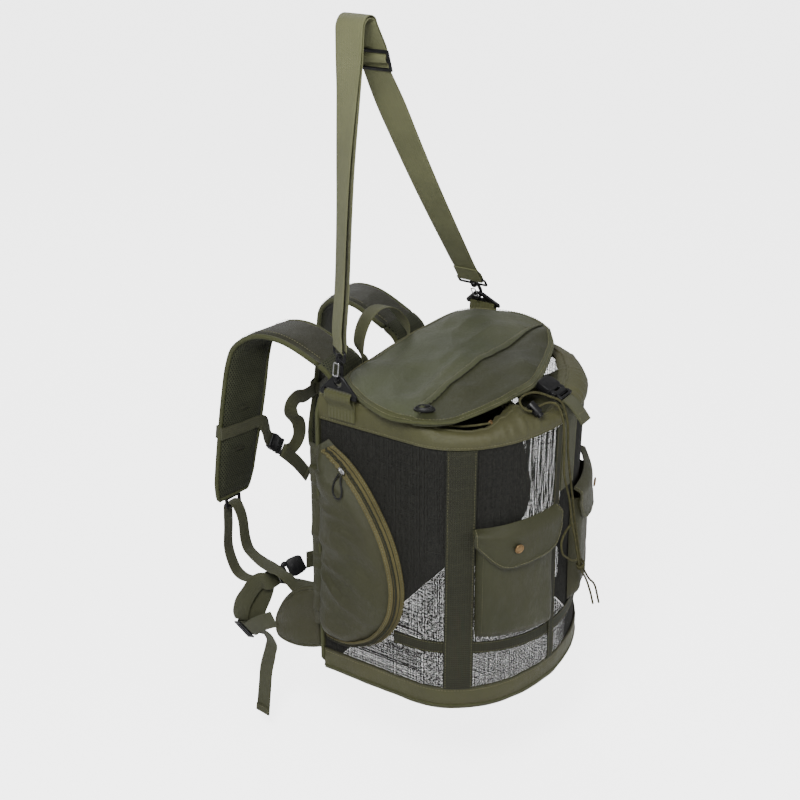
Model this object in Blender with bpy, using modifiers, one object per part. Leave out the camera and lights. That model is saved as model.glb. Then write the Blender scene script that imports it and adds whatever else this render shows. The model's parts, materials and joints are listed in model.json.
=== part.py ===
"""Foraging backpack: a mesh basket with cloth pockets, lid, shoulder straps, hip belt and carry strap.

Measured in the bag's own frame: X across (wearer's back at +Y, front pockets at -Y), Z up, floor at z = 0.
One empty then shifts the whole object so that the origin is the point it hangs from."""

import math

import bmesh
import bpy
from mathutils import Matrix, Vector

for old in list(bpy.data.objects):
    bpy.data.objects.remove(old, do_unlink=True)

# Driving sizes, metres
HANG = Vector((-0.128, 0.100, 0.886))   # inner top of the carry strap, in the bag's frame
HALF_W = 0.172                          # half width of the basket
NOSE = 0.124                            # depth of the half ellipse at the front
NOSE_Y = -0.010                         # where the straight sides meet the half ellipse
BACK_Y = 0.135                          # rear edge of the sides
WALL_TOP = 0.394                        # top edge of the mesh wall
CLOTH = 0.0016                          # single cloth
WEB = 0.0014                            # webbing thickness
GAP = 0.0004                            # air left between touching pieces
W38, W25, W20 = 0.038, 0.025, 0.020     # webbing widths
PAD_W, PAD_T = 0.068, 0.010             # shoulder pads
CORD_R = 0.0015

PARTS = bpy.data.collections.new("foraging_backpack")
CUTTERS = bpy.data.collections.new("cutters")
bpy.context.scene.collection.children.link(PARTS)
bpy.context.scene.collection.children.link(CUTTERS)
CUTTERS.hide_render = True
ROOT = bpy.data.objects.new("hang_frame", None)
ROOT.location = -HANG
PARTS.objects.link(ROOT)

MATERIALS = {
    "cloth_olive": ((0.085, 0.092, 0.047), 0.0, 0.8),
    "webbing_olive": ((0.135, 0.145, 0.075), 0.0, 0.8),
    "webbing_dark": ((0.035, 0.040, 0.024), 0.0, 0.8),
    "net_black": ((0.020, 0.020, 0.019), 0.0, 0.8),
    "binding_olive": ((0.150, 0.145, 0.065), 0.0, 0.7),
    "cord_olive": ((0.100, 0.100, 0.050), 0.0, 0.8),
    "plastic_black": ((0.012, 0.012, 0.012), 0.0, 0.5),
    "rubber_black": ((0.015, 0.015, 0.015), 0.0, 0.6),
    "wire_steel": ((0.450, 0.450, 0.450), 1.0, 0.3),
    "brass_snap": ((0.480, 0.300, 0.130), 1.0, 0.35),
}
MADE = {}


def material(slot, name):
    """Every node has its own copy of the surface it is made of."""
    colour, metal, rough = MATERIALS[slot]
    made = bpy.data.materials.new(slot + "__" + name)
    made.use_nodes = True
    shader = made.node_tree.nodes["Principled BSDF"]
    shader.inputs["Base Color"].default_value = (*colour, 1.0)
    shader.inputs["Metallic"].default_value = metal
    shader.inputs["Roughness"].default_value = rough
    return made


def keep(name, data, slot, cutter=False):
    obj = bpy.data.objects.new(name, data)
    (CUTTERS if cutter else PARTS).objects.link(obj)
    obj.parent = ROOT
    if cutter:
        obj.hide_render = True
        obj.hide_viewport = True
    else:
        data.materials.append(material(slot, name))
        MADE[name] = obj
    return obj


def solidify(obj, thick, offset, even=False):
    mod = obj.modifiers.new("thickness", "SOLIDIFY")
    mod.thickness = thick
    mod.offset = offset
    mod.use_even_offset = even
    mod.use_rim = True
    return obj


def sheet(name, rows, thick, slot, offset=1.0, closed=False):
    """An open surface through rows of points, given its thickness by Solidify."""
    mesh = bpy.data.meshes.new(name)
    wide = len(rows[0])
    points = [p for row in rows for p in row]
    faces = []
    for i in range(len(rows) - (0 if closed else 1)):
        a, b = i * wide, ((i + 1) % len(rows)) * wide
        faces += [(a + j, b + j, b + j + 1, a + j + 1) for j in range(wide - 1)]
    mesh.from_pydata(points, [], faces)
    obj = keep(name, mesh, slot)
    return solidify(obj, thick, offset)


def smooth(points, step):
    """A rounded path through the points, read off every step metres; any number of columns."""
    rows = [tuple(float(v) for v in p) for p in points]
    wide = len(rows[0])
    rows = [tuple(2 * rows[0][k] - rows[1][k] for k in range(wide))] + rows
    rows.append(tuple(2 * rows[-1][k] - rows[-2][k] for k in range(wide)))
    fine = []
    for i in range(1, len(rows) - 2):
        p0, p1, p2, p3 = rows[i - 1], rows[i], rows[i + 1], rows[i + 2]
        for n in range(24):
            t = n / 24
            fine.append(tuple(
                0.5 * (2 * b + (c - a) * t + (2 * a - 5 * b + 4 * c - d) * t * t
                       + (3 * b - a - 3 * c + d) * t ** 3)
                for a, b, c, d in zip(p0, p1, p2, p3)))
    fine.append(rows[-2])
    run = [0.0]
    for a, b in zip(fine, fine[1:]):
        run.append(run[-1] + math.dist(a[:3], b[:3]))
    count = max(2, round(run[-1] / step))
    out, i = [], 0
    for n in range(count + 1):
        want = run[-1] * n / count
        while i < len(run) - 2 and run[i + 1] < want:
            i += 1
        span = max(run[i + 1] - run[i], 1e-12)
        t = min(max((want - run[i]) / span, 0.0), 1.0)
        out.append(tuple(a + (b - a) * t for a, b in zip(fine[i], fine[i + 1])))
    return out


def tube(name, points, radius, slot, step=0.0, cyclic=False, res=2, radii=None):
    data = bpy.data.curves.new(name, "CURVE")
    data.dimensions = "3D"
    data.bevel_depth = radius
    data.bevel_resolution = res
    data.use_fill_caps = not cyclic
    path = smooth(points, step) if step else points
    line = data.splines.new("POLY")
    line.points.add(len(path) - 1)
    for i, p in enumerate(path):
        line.points[i].co = (p[0], p[1], p[2], 1.0)
        if radii:
            line.points[i].radius = radii[i] / radius
    line.use_cyclic_u = cyclic
    return keep(name, data, slot)


def web(name, table, width, slot, step=0.008, thick=WEB, raw=False):
    """Webbing along a path. Columns: x, y, z of the middle, then the direction across it."""
    path = table if raw else smooth(table, step)
    rows = []
    for i, p in enumerate(path):
        here = Vector(p[:3])
        a, b = Vector(path[max(i - 1, 0)][:3]), Vector(path[min(i + 1, len(path) - 1)][:3])
        along = (b - a).normalized()
        side = Vector(p[3:6])
        side = (side - along * side.dot(along)).normalized() * width / 2
        rows.append([here - side, here + side])
    return sheet(name, rows, thick, slot, 0.0)


def prism(name, outline, thick, frame, slot, cutter=False, bevel=0.0):
    """A flat plate: the outline in the frame's first two axes, thick along its third, centred."""
    mesh = bpy.data.meshes.new(name)
    bm = bmesh.new()
    low = [bm.verts.new(frame @ Vector((x, y, -thick / 2))) for x, y in outline]
    high = [bm.verts.new(frame @ Vector((x, y, thick / 2))) for x, y in outline]
    n = len(outline)
    bm.faces.new(list(reversed(low)))
    bm.faces.new(high)
    for i in range(n):
        j = (i + 1) % n
        bm.faces.new((low[i], low[j], high[j], high[i]))
    bmesh.ops.recalc_face_normals(bm, faces=bm.faces)
    bm.to_mesh(mesh)
    bm.free()
    obj = keep(name, mesh, slot, cutter)
    if bevel:
        mod = obj.modifiers.new("edges", "BEVEL")
        mod.width = bevel
        mod.segments = 1
        mod.limit_method = "ANGLE"
    return obj


def block(name, size, frame, slot, cutter=False, bevel=0.0):
    x, y = size[0] / 2, size[1] / 2
    return prism(name, [(-x, -y), (x, -y), (x, y), (-x, y)], size[2], frame, slot, cutter, bevel)


def disc(name, radius, thick, frame, slot, cutter=False, sides=20, bevel=0.0):
    outline = [(radius * math.cos(2 * math.pi * k / sides), radius * math.sin(2 * math.pi * k / sides))
               for k in range(sides)]
    return prism(name, outline, thick, frame, slot, cutter, bevel)


def cut(obj, cutter, operation="DIFFERENCE"):
    mod = obj.modifiers.new("cut", "BOOLEAN")
    mod.operation = operation
    mod.solver = "EXACT"
    mod.object = cutter
    return obj


def as_mesh(obj, slot):
    """The same node, with its curve turned into a mesh."""
    name = obj.name
    bpy.context.view_layer.update()
    mesh = bpy.data.meshes.new_from_object(obj.evaluated_get(bpy.context.evaluated_depsgraph_get()))
    mesh.materials.clear()
    bpy.data.objects.remove(obj, do_unlink=True)
    return keep(name, mesh, slot)


def join(obj, other, slot="plastic_black"):
    """Two round pieces made one."""
    first, second = as_mesh(obj, slot), as_mesh(other, slot)
    MADE.pop(second.name)
    for home in list(second.users_collection):
        home.objects.unlink(second)
    CUTTERS.objects.link(second)
    second.hide_render = second.hide_viewport = True
    return cut(first, second, "UNION")


def frame_at(origin, x_axis, y_axis):
    """A right-handed frame whose first two axes are given."""
    x = Vector(x_axis).normalized()
    y = Vector(y_axis)
    y = (y - x * y.dot(x)).normalized()
    z = x.cross(y)
    made = Matrix((x, y, z)).transposed().to_4x4()
    made.translation = Vector(origin)
    return made


# The basket's plan: a half ellipse in front of two straight sides, measured along its outline
QUARTER = []
for k in range(121):
    angle = math.pi / 2 * k / 120
    spot = (HALF_W * math.sin(angle), NOSE_Y - NOSE * math.cos(angle))
    grown = QUARTER[-1][0] + math.dist(QUARTER[-1][1:3], spot) if QUARTER else 0.0
    QUARTER.append((grown, spot[0], spot[1], angle))
NOSE_S = QUARTER[-1][0]
END_S = NOSE_S + BACK_Y - NOSE_Y


LEVELS = ((0.0, 0.0), (0.05, 0.0), (0.20, 0.0035), (0.394, 0.0010), (0.46, 0.0010))   # height, drawn in by
SEGMENTS = 34
STATIONS = [-END_S + 2 * END_S * k / SEGMENTS for k in range(SEGMENTS + 1)]


def drawn_in(z):
    """How far the cloth wall is pulled in at height z."""
    for (z0, d0), (z1, d1) in zip(LEVELS, LEVELS[1:]):
        if z <= z1:
            return d0 + (d1 - d0) * max(0.0, z - z0) / (z1 - z0)
    return d1


def round_wall(s, out, z):
    """The point of the basket's rounded outside at s metres right of the front middle, out metres off it."""
    side = -1.0 if s < 0 else 1.0
    a = abs(s)
    if a >= NOSE_S:
        return Vector((side * (HALF_W + out), NOSE_Y + a - NOSE_S, z))
    lo = max(i for i in range(len(QUARTER) - 1) if QUARTER[i][0] <= a)
    t = (a - QUARTER[lo][0]) / (QUARTER[lo + 1][0] - QUARTER[lo][0])
    x = QUARTER[lo][1] + (QUARTER[lo + 1][1] - QUARTER[lo][1]) * t
    y = QUARTER[lo][2] + (QUARTER[lo + 1][2] - QUARTER[lo][2]) * t
    normal = Vector((x / HALF_W ** 2, (y - NOSE_Y) / NOSE ** 2, 0.0)).normalized()
    return Vector((side * (x + normal.x * out), y + normal.y * out, z))


def wall(s, out, z):
    """The same on the flat facets between the stations, so that pieces laid on the wall stay clear of it."""
    out = out - drawn_in(z)
    f = (s + END_S) / (2 * END_S) * SEGMENTS
    k = min(max(int(f), 0), SEGMENTS - 1)
    return round_wall(STATIONS[k], out, z).lerp(round_wall(STATIONS[k + 1], out, z), f - k)


def reach(s0, s1):
    """From s0 to s1 with every station between them."""
    return [s0] + [s for s in STATIONS if s0 + 0.002 < s < s1 - 0.002] + [s1]


def upward(z0, z1):
    return [z0] + [z for z, _ in LEVELS if z0 + 0.002 < z < z1 - 0.002] + [z1]


def s_of(x):
    """Distance along the outline of the front point with this x."""
    a = abs(x)
    lo = max(i for i in range(len(QUARTER) - 1) if QUARTER[i][1] <= a)
    t = (a - QUARTER[lo][1]) / (QUARTER[lo + 1][1] - QUARTER[lo][1])
    s = QUARTER[lo][0] + (QUARTER[lo + 1][0] - QUARTER[lo][0]) * t
    return -s if x < 0 else s


def span(a, b, n):
    return [a + (b - a) * k / n for k in range(n + 1)]


def patch(name, s0, s1, z0, z1, out, thick, slot):
    """A cloth patch lying on the wall, out metres off it."""
    return sheet(name, [[wall(s, out, z) for z in upward(z0, z1)] for s in reach(s0, s1)], thick, slot)


# Basket
patch("mesh_wall", -END_S, END_S, 0.0024, WALL_TOP, -CLOTH, CLOTH, "net_black")

floor_line = [wall(s, -CLOTH - GAP, 0.0) for s in STATIONS]
floor_line = [(p.x, min(p.y, BACK_Y - 0.0004)) for p in floor_line]
floor_frame = Matrix.Translation((0, 0, 0.001))
prism("mesh_floor", floor_line, 0.002, floor_frame, "net_black")

band = [[wall(s, GAP, 0.0022), wall(s, GAP, 0.0335)] for s in STATIONS]
sheet("bottom_band", band, CLOTH, "cloth_olive")
back_frame = frame_at((0, BACK_Y + 0.0066, 0.2055), (1, 0, 0), (0, 0, 1))
back_outline = [(-0.156, -0.2045), (0.156, -0.2045), (0.1745, -0.188), (0.1740, 0.165), (0.154, 0.205),
                (-0.154, 0.205), (-0.1740, 0.165), (-0.1745, -0.188)]
prism("back_panel", back_outline, 0.0124, back_frame, "cloth_olive", bevel=0.003)

# Webbing strips on the mesh, left and right
STRIP_S = (s_of(-0.1625), s_of(-0.1410))
OVER = GAP + 0.0002          # the level band lies on the mesh
LIFT = OVER + WEB + GAP       # the upright strips cross over it
for side, sign in (("left", 1), ("right", -1)):
    s0, s1 = sorted((STRIP_S[0] * sign, STRIP_S[1] * sign))
    patch("front_strip_" + side, s0, s1, 0.0345, 0.3855, LIFT, WEB, "webbing_dark")
patch("centre_tape", s_of(-0.029), s_of(-0.0165), 0.0345, 0.3855, LIFT, WEB, "webbing_dark")

# The level band runs round the mesh under the strips and dips at the front
rows = []
for s in reach(-NOSE_S - 0.031, NOSE_S + 0.031):
    z = 0.083 + 0.016 * min(1.0, abs(s) / 0.17) ** 1.5 - 0.009 * max(0.0, (abs(s) - 0.17) / 0.156)
    rows.append([wall(s, OVER, z - 0.0085), wall(s, OVER, z + 0.0085)])
sheet("level_band", rows, WEB, "webbing_dark")

# Side pockets: a domed panel with a zip tape round its curved edge
POCKET = [  # y of the curved edge, height
    (0.1335, 0.3690), (0.1150, 0.3520), (0.0920, 0.3360), (0.0690, 0.3120), (0.0460, 0.2780),
    (0.0260, 0.2390), (0.0140, 0.1990), (0.0090, 0.1610), (0.0160, 0.1220), (0.0400, 0.0850),
    (0.0760, 0.0630), (0.1150, 0.0555), (0.1335, 0.0560),
]
POCKET_BULGE = 0.021
TAPE = 0.015


def pocket_point(t, r, lift):
    """t runs round the curved edge from top to bottom, r from that edge to the back edge."""
    line = POCKET_LINE
    f = t * (len(line) - 1)
    k = min(int(f), len(line) - 2)
    y = line[k][0] + (line[k + 1][0] - line[k][0]) * (f - k)
    z = line[k][1] + (line[k + 1][1] - line[k][1]) * (f - k)
    depth = BACK_Y - 0.0015 - y
    back_z = 0.360 + (0.063 - 0.360) * t
    yy = y + depth * r
    zz = z + (back_z - z) * r
    room = max(depth, 0.0)
    rise = math.sin(math.pi / 2 * min(1.0, r * room / 0.030 + 0.0)) ** 0.75
    fall = math.cos(math.pi / 2 * max(0.0, (r - 0.55) / 0.45)) ** 0.6 if r > 0.55 else 1.0
    high = POCKET_BULGE * min(1.0, room / 0.06) ** 0.6 * rise * fall
    return Vector((-(HALF_W - drawn_in(zz) + GAP + high + lift), yy, zz))


POCKET_LINE = [(p[1], p[2]) for p in smooth([(0.0, y, z) for y, z in POCKET], 0.024)]
COUNT = len(POCKET_LINE) - 1


def mirrored(p, flip):
    return Vector((-p.x, p.y, p.z)) if flip else p


for side, flip in (("left", False), ("right", True)):
    radial = (0.0, 0.08, 0.22, 0.45, 0.78, 1.0)
    rows = [[mirrored(pocket_point(k / COUNT, r, 0.0), flip) for r in radial] for k in range(1, COUNT)]
    if flip:
        rows.reverse()
    sheet("side_pocket_" + side, rows, CLOTH, "cloth_olive", -1.0)
    rows = []
    for k in range(1, COUNT):
        t = k / COUNT
        room = BACK_Y - 0.0015 - POCKET_LINE[k][0]
        if room < 0.016:
            continue
        row = [pocket_point(t, r * 0.013 / room, 0.0) for r in (0.0, 0.5, 1.0)]
        out = []
        for j, p in enumerate(row):
            a, b = row[max(j - 1, 0)], row[min(j + 1, 2)]
            ahead = pocket_point(min(t + 0.01, 1.0), 0.0, 0.0) - pocket_point(max(t - 0.01, 0.0), 0.0, 0.0)
            normal = (b - a).cross(ahead).normalized()
            if normal.x > 0:
                normal = -normal
            out.append(mirrored(p + normal * (CLOTH + 0.0011 + GAP * 4.6), flip))
        rows.append(out)
    if flip:
        rows.reverse()
    sheet("zip_tape_" + side, rows, 0.0011, "binding_olive", 1.0)

# Front pockets: a flat bag, a flap with rounded corners and a snap
PKT_S0, PKT_S1 = s_of(-0.1385), s_of(-0.0315)
PKT_D = 0.010


def front_pocket(side, flip):
    s_a, s_b = PKT_S0, PKT_S1

    def at(s, out, z):
        return mirrored(wall(s, out, z), flip)

    def low(u):
        return 0.1135 + (0.0965 - 0.1135) * u

    rows = []
    bends = [(s - s_a) / (s_b - s_a) for s in STATIONS if s_a + 0.014 < s < s_b - 0.014]
    for u in [0.0, 0.03, 0.10] + bends + [0.90, 0.97, 1.0]:
        edge = min(u, 1 - u)
        rise = math.sin(math.pi / 2 * min(1.0, edge / 0.10)) ** 0.8
        row = []
        for v in (0.0, 0.03, 0.10, 0.4, 0.7, 1.0):
            z = low(u) + (0.2550 - low(u)) * v
            foot = math.sin(math.pi / 2 * min(1.0, v / 0.10)) ** 0.8
            row.append(at(s_a + (s_b - s_a) * u, GAP + (LIFT - GAP + PKT_D) * rise * foot, z))
        rows.append(row)
    if flip:
        rows.reverse()
    sheet("front_pocket_" + side, rows, CLOTH, "cloth_olive", 1.0)

    rows = []
    for u in (0.0, 0.05, 0.14, 0.26, 0.42, 0.58, 0.74, 0.86, 0.95, 1.0):
        s = s_a - 0.004 + (s_b - s_a + 0.008) * u
        foot = LIFT + WEB + GAP
        bow = 0.013 * (math.sin(math.pi * u)) ** 0.5
        tip = 0.249 - 0.026 * (math.sin(math.pi * u)) ** 0.45
        row = []
        for v in (0.0, 0.12, 0.27, 0.65, 1.0):
            z = 0.2735 + (tip - 0.2735) * v
            step = math.sin(math.pi / 2 * min(1.0, v / 0.27))
            out = foot + (LIFT + PKT_D + CLOTH + 0.0010 - foot) * step + bow * v * 0.35
            row.append(at(s, out, z))
        rows.append(row)
    if not flip:
        rows.reverse()
    sheet("pocket_flap_" + side, rows, 0.002, "cloth_olive", 1.0)
    s = s_of(-0.100)
    up = at(s, 0.030, 0.2445) - at(s, 0.0, 0.2485)
    spot = at(s, LIFT + PKT_D + CLOTH + 0.0010 + 0.0028 + 0.0040, 0.2445)
    level = up.cross(Vector((0, 0, 1)))
    disc("snap_" + side, 0.0066, 0.0018, frame_at(spot, level, level.cross(up) * -1), "brass_snap", sides=16,
         bevel=0.0005)


front_pocket("left", False)
front_pocket("right", True)

# Collar: the cloth rim above the mesh, gathered inwards by the drawcord
COLLAR = [  # share of the outline from back left to back right, top height, how far it leans in
    (0.00, 0.4190, 0.003), (0.06, 0.4190, 0.003), (0.14, 0.4170, 0.004), (0.19, 0.4130, 0.013),
    (0.24, 0.4060, 0.018), (0.29, 0.4040, 0.019), (0.315, 0.4045, 0.021), (0.36, 0.4110, 0.034),
    (0.400, 0.4165, 0.046), (0.412, 0.4140, 0.036), (0.426, 0.4040, 0.014), (0.45, 0.4020, 0.016),
    (0.50, 0.4020, 0.022), (0.54, 0.4040, 0.030), (0.58, 0.4080, 0.038), (0.66, 0.4110, 0.038),
    (0.74, 0.4120, 0.034), (0.82, 0.4130, 0.022), (0.88, 0.4190, 0.008), (1.00, 0.4190, 0.003),
]


def collar_at(share):
    for a, b in zip(COLLAR, COLLAR[1:]):
        if share <= b[0]:
            t = (share - a[0]) / (b[0] - a[0])
            return a[1] + (b[1] - a[1]) * t, a[2] + (b[2] - a[2]) * t
    return COLLAR[-1][1:]


rows = []
for s in sorted(STATIONS + [END_S * (2 * share - 1) for share in (0.399, 0.4265)]):
    top, lean = collar_at((s + END_S) / (2 * END_S))
    rows.append([wall(s, GAP, 0.3862), wall(s, GAP, 0.3940),
                 wall(s, GAP - lean * 0.22, 0.3940 + (top - 0.394) * 0.75),
                 wall(s, GAP - lean * 0.60, top), wall(s, GAP - lean, top - 0.0020)])
sheet("collar", rows, 0.0018, "cloth_olive", 1.0)

# Lid
LID = [  # outline seen from above, clockwise from the back left: x, y, height
    (-0.120, 0.127, 0.4290), (-0.060, 0.129, 0.4310), (0.000, 0.129, 0.4330), (0.070, 0.126, 0.4350),
    (0.120, 0.120, 0.4370), (0.150, 0.104, 0.4380), (0.168, 0.070, 0.4380), (0.181, 0.035, 0.4360),
    (0.166, -0.010, 0.4340), (0.122, -0.046, 0.4320), (0.078, -0.065, 0.4310), (0.030, -0.081, 0.4300),
    (-0.020, -0.093, 0.4280), (-0.060, -0.092, 0.4265), (-0.100, -0.084, 0.4250), (-0.136, -0.072, 0.4240),
    (-0.161, -0.056, 0.4230), (-0.178, -0.023, 0.4225), (-0.188, 0.016, 0.4230), (-0.180, 0.052, 0.4260),
    (-0.164, 0.085, 0.4280), (-0.146, 0.112, 0.4285),
]
LID_MID = Vector((0.0, 0.030, 0.4440))
LID_SEAM_Y = BACK_Y
rim = smooth(LID + LID[:1], 0.040)[:-1]
mesh = bpy.data.meshes.new("lid")
bm = bmesh.new()
rings = []
for share, lift in ((1.0, 0.0), (0.955, 0.0022), (0.75, 0.0065), (0.45, 0.0095)):
    rings.append([bm.verts.new((LID_MID.x + (p[0] - LID_MID.x) * share,
                                LID_MID.y + (p[1] - LID_MID.y) * share,
                                p[2] + (0.4335 - p[2]) * (1 - share) + lift)) for p in rim])
top = bm.verts.new(LID_MID)
n = len(rim)
for outer, inner in zip(rings, rings[1:]):
    for i in range(n):
        j = (i + 1) % n
        bm.faces.new((outer[i], inner[i], inner[j], outer[j]))
for i in range(n):
    bm.faces.new((rings[-1][i], top, rings[-1][(i + 1) % n]))
hinge = {}                              # the rear edge turns down and is sewn to the back panel's face
for i, p in enumerate(rim):
    if p[1] > 0.108 and abs(p[0]) < 0.151:
        hinge[i] = [rings[0][i]] + [bm.verts.new((p[0], LID_SEAM_Y, z)) for z in (0.4130, 0.3990)]
for i in hinge:
    j = (i + 1) % n
    if j in hinge:
        for k in range(2):
            bm.faces.new((hinge[i][k + 1], hinge[i][k], hinge[j][k], hinge[j][k + 1]))
bmesh.ops.recalc_face_normals(bm, faces=bm.faces)
if sum(f.normal.z for f in bm.faces) < 0:
    bmesh.ops.reverse_faces(bm, faces=bm.faces)
bm.to_mesh(mesh)
bm.free()
solidify(keep("lid", mesh, "cloth_olive"), 0.0024, -1.0)


def lid_height(x, y):
    """Height of the lid's top near its flat front part."""
    d = Vector((x, y)) - LID_MID.xy
    best = min(rim, key=lambda p: abs((Vector((p[0], p[1])) - LID_MID.xy).angle_signed(d) or 0.0))
    share = d.length / (Vector((best[0], best[1])) - LID_MID.xy).length
    marks = ((0.0, 0.4440), (0.45, 0.0), (0.75, 0.0), (0.955, 0.0), (1.0, 0.0))
    lifts = {0.45: 0.0095, 0.75: 0.0065, 0.955: 0.0022, 1.0: 0.0}

    def level(m):
        return 0.4440 if m == 0.0 else best[2] + (0.4335 - best[2]) * (1 - m) + lifts[m]

    for (m0, _), (m1, _) in zip(marks, marks[1:]):
        if share <= m1 or m1 == 1.0:
            t = (share - m0) / (m1 - m0)
            return level(m0) + (level(m1) - level(m0)) * t


port = (-0.152, -0.0105)
port_frame = frame_at((*port, lid_height(*port) + 0.0031), (0.53, -0.85, 0.0), (0.85, 0.53, 0.05))
oval = [(0.0135 * math.cos(a), 0.0075 * math.sin(a)) for a in span(0, 2 * math.pi, 14)[:-1]]
hole = [(0.0075 * math.cos(a), 0.0030 * math.sin(a)) for a in span(0, 2 * math.pi, 10)[:-1]]
cut(prism("lid_port", oval, 0.0036, port_frame, "rubber_black", bevel=0.001),
    prism("port_slit", hole, 0.0024, port_frame @ Matrix.Translation((0, 0, 0.0018)), None, True))

# Ring tabs and triangular rings on the two upper sides
RING_Y = 0.0975
RINGS = {}
for side, sign, lift, lean in (("left", -1, 0.0, 0.0), ("right", 1, 0.009, 35.0)):
    bar_x, bar_z = 0.1815, 0.4310 + lift
    path = [(0.1743, 0.3945), (0.1745, 0.410), (0.1764, bar_z - 0.004)]
    for a in span(180, 0, 6):
        path.append((bar_x + 0.0043 * math.cos(math.radians(a)), bar_z + 0.0043 * math.sin(math.radians(a))))
    path += [(0.1850, bar_z - 0.006), (0.1798, bar_z - 0.014), (0.1768, 0.410), (0.1766, 0.3945)]
    table = [(sign * x, RING_Y, z, 0, 1, 0) for x, z in path]
    web("ring_tab_" + side, table, 0.040, "webbing_olive", raw=True)
    ring_up = Vector((-math.sin(math.radians(lean)), 0.0, math.cos(math.radians(lean))))
    ring_frame = frame_at((sign * bar_x, RING_Y, bar_z), (0, 1, 0), ring_up)
    RINGS[side] = Vector((sign * bar_x, RING_Y, bar_z)) + ring_up * 0.0177
    tri = [(-0.0270, -0.0026), (0.0270, -0.0026), (0.0275, 0.0035), (0.0085, 0.0242), (0.0055, 0.0265),
           (-0.0055, 0.0265), (-0.0085, 0.0242), (-0.0275, 0.0035)]
    ring = prism("ring_" + side, tri, 0.0042, ring_frame, "plastic_black", bevel=0.0008)
    slot_frame = ring_frame @ Matrix.Translation((0, 0.0052, 0))
    cut(ring, block("slot_" + side, (0.0416, 0.0052, 0.02), slot_frame, None, True))
    hole_frame = ring_frame @ Matrix.Translation((0, 0.0165, 0))
    cut(ring, disc("hole_" + side, 0.0058, 0.02, hole_frame, None, True, 16))

# Snap hooks: u runs up the load line, v across the hook, Y is the hinge line
HOOKS = {
    "left": (RINGS["left"], Vector((0.09, 0.0, 1.0)).normalized(), (-0.616, -0.788, 0.0)),
    "right": (RINGS["right"], Vector((-0.62, 0.0, 0.785)).normalized(), (0.0, -1.0, 0.0)),
}
HOOK_J = [  # u, v, radius
    (0.0340, 0.0000, 0.0046), (0.0282, 0.0000, 0.0046), (0.0240, 0.0046, 0.0027), (0.0200, 0.0062, 0.0025),
    (0.0120, 0.0064, 0.0025), (0.0055, 0.0058, 0.0025), (0.0015, 0.0032, 0.0024), (0.0000, 0.0000, 0.0024),
    (0.0012, -0.0034, 0.0024), (0.0045, -0.0060, 0.0023), (0.0086, -0.0068, 0.0021),
]
GATE_HINGE = (0.0262, -0.0059)
for side, (o, up, across) in HOOKS.items():
    v_axis = Vector((up.z, 0.0, -up.x))
    y_axis = Vector((0.0, 1.0, 0.0))

    def at_hook(u, v, y=0.0):
        return o + up * u + v_axis * v + y_axis * y

    hook = tube("hook_" + side, [at_hook(u, v) for u, v, _ in HOOK_J], 0.0025, "plastic_black", res=1,
                radii=[r for _, _, r in HOOK_J])
    wire = [at_hook(u, v, y) for u, v, y in (
        (*GATE_HINGE, -0.0030), (*GATE_HINGE, 0.0030), (0.0240, -0.0063, 0.0036), (0.0120, -0.0073, 0.0036),
        (0.0098, -0.0070, 0.0026), (0.0098, -0.0070, -0.0026), (0.0120, -0.0073, -0.0036),
        (0.0240, -0.0063, -0.0036))]
    tube("hook_gate_" + side, wire, 0.0008, "wire_steel", res=1, cyclic=True)
    w = Vector(across)
    w = (w - up * w.dot(up)).normalized()
    base = at_hook(0.0344, 0.0)
    loop = []
    for cx, cu, start in ((0.0200, 0.0100, 0), (-0.0200, 0.0100, 90), (-0.0200, 0.0020, 180),
                          (0.0200, 0.0020, 270)):
        for a in (start, start + 45, start + 90):
            c, s = math.cos(math.radians(a)), math.sin(math.radians(a))
            loop.append(base + w * (cx + 0.0020 * c) + up * (cu - 0.002 + 0.0020 * s))
    join(hook, tube("hook_eye_" + side, loop, 0.0016, "plastic_black", res=1, cyclic=True))

EYE_U = 0.0344 + 0.0100
# Carry strap: one length, doubled from its slider over the top to the left hook, single to the right hook
PEG = HANG + Vector((0, 0, -0.012))
SLIDE_DIR = Vector((0.39, 0, -0.92)).normalized()
SLIDE_OUT = Vector((0.92, 0, 0.39)).normalized()
SLIDE_C = Vector((-0.0950, 0.100, 0.8330))
left_o, left_up, left_w = HOOKS["left"]
right_o, right_up, right_w = HOOKS["right"]
left_eye = left_o + left_up * EYE_U
right_eye = right_o + right_up * EYE_U
LEG = [  # left leg: x, z, half gap between its two layers, angle of the webbing across
    (-0.1425, 0.8740, 0.0016, -91), (-0.1440, 0.8400, 0.0021, -95), (-0.1465, 0.8050, 0.0025, -105),
    (-0.1545, 0.7250, 0.0030, -119), (-0.1600, 0.6500, 0.0032, -126), (-0.1665, 0.5700, 0.0033, -128),
    (-0.1740, 0.5150, 0.0034, -128),
]


def across_at(angle):
    return Vector((math.cos(math.radians(angle)), math.sin(math.radians(angle)), 0.0))


def slide(t, out, tilt=0.10):
    return (*(SLIDE_C + SLIDE_DIR * t + SLIDE_OUT * out), tilt, -1.0, 0.0)


path = [slide(0.0020, -0.0023), slide(-0.0020, -0.0023), slide(-0.0046, -0.0019), slide(-0.0082, 0.0016),
        slide(-0.0105, 0.0024), slide(-0.0170, 0.0024)]
for a in (10, 40, 65, 90, 115, 140, 165, 180):
    r = 0.0127
    c, s = math.cos(math.radians(a)), math.sin(math.radians(a))
    path.append((PEG.x + r * c, 0.100, PEG.z + r * s, 0.02, -1.0, 0.0))
leg = smooth([(x, 0.0, z, half, angle) for x, z, half, angle in LEG], 0.032)


def leg_point(x, z, half, angle, sign):
    across = across_at(angle)
    normal = Vector((0, 0, 1)).cross(across).normalized()
    if normal.x < 0:
        normal = -normal
    return (*(Vector((x, 0.100, z)) + normal * half * sign), *across)


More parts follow.
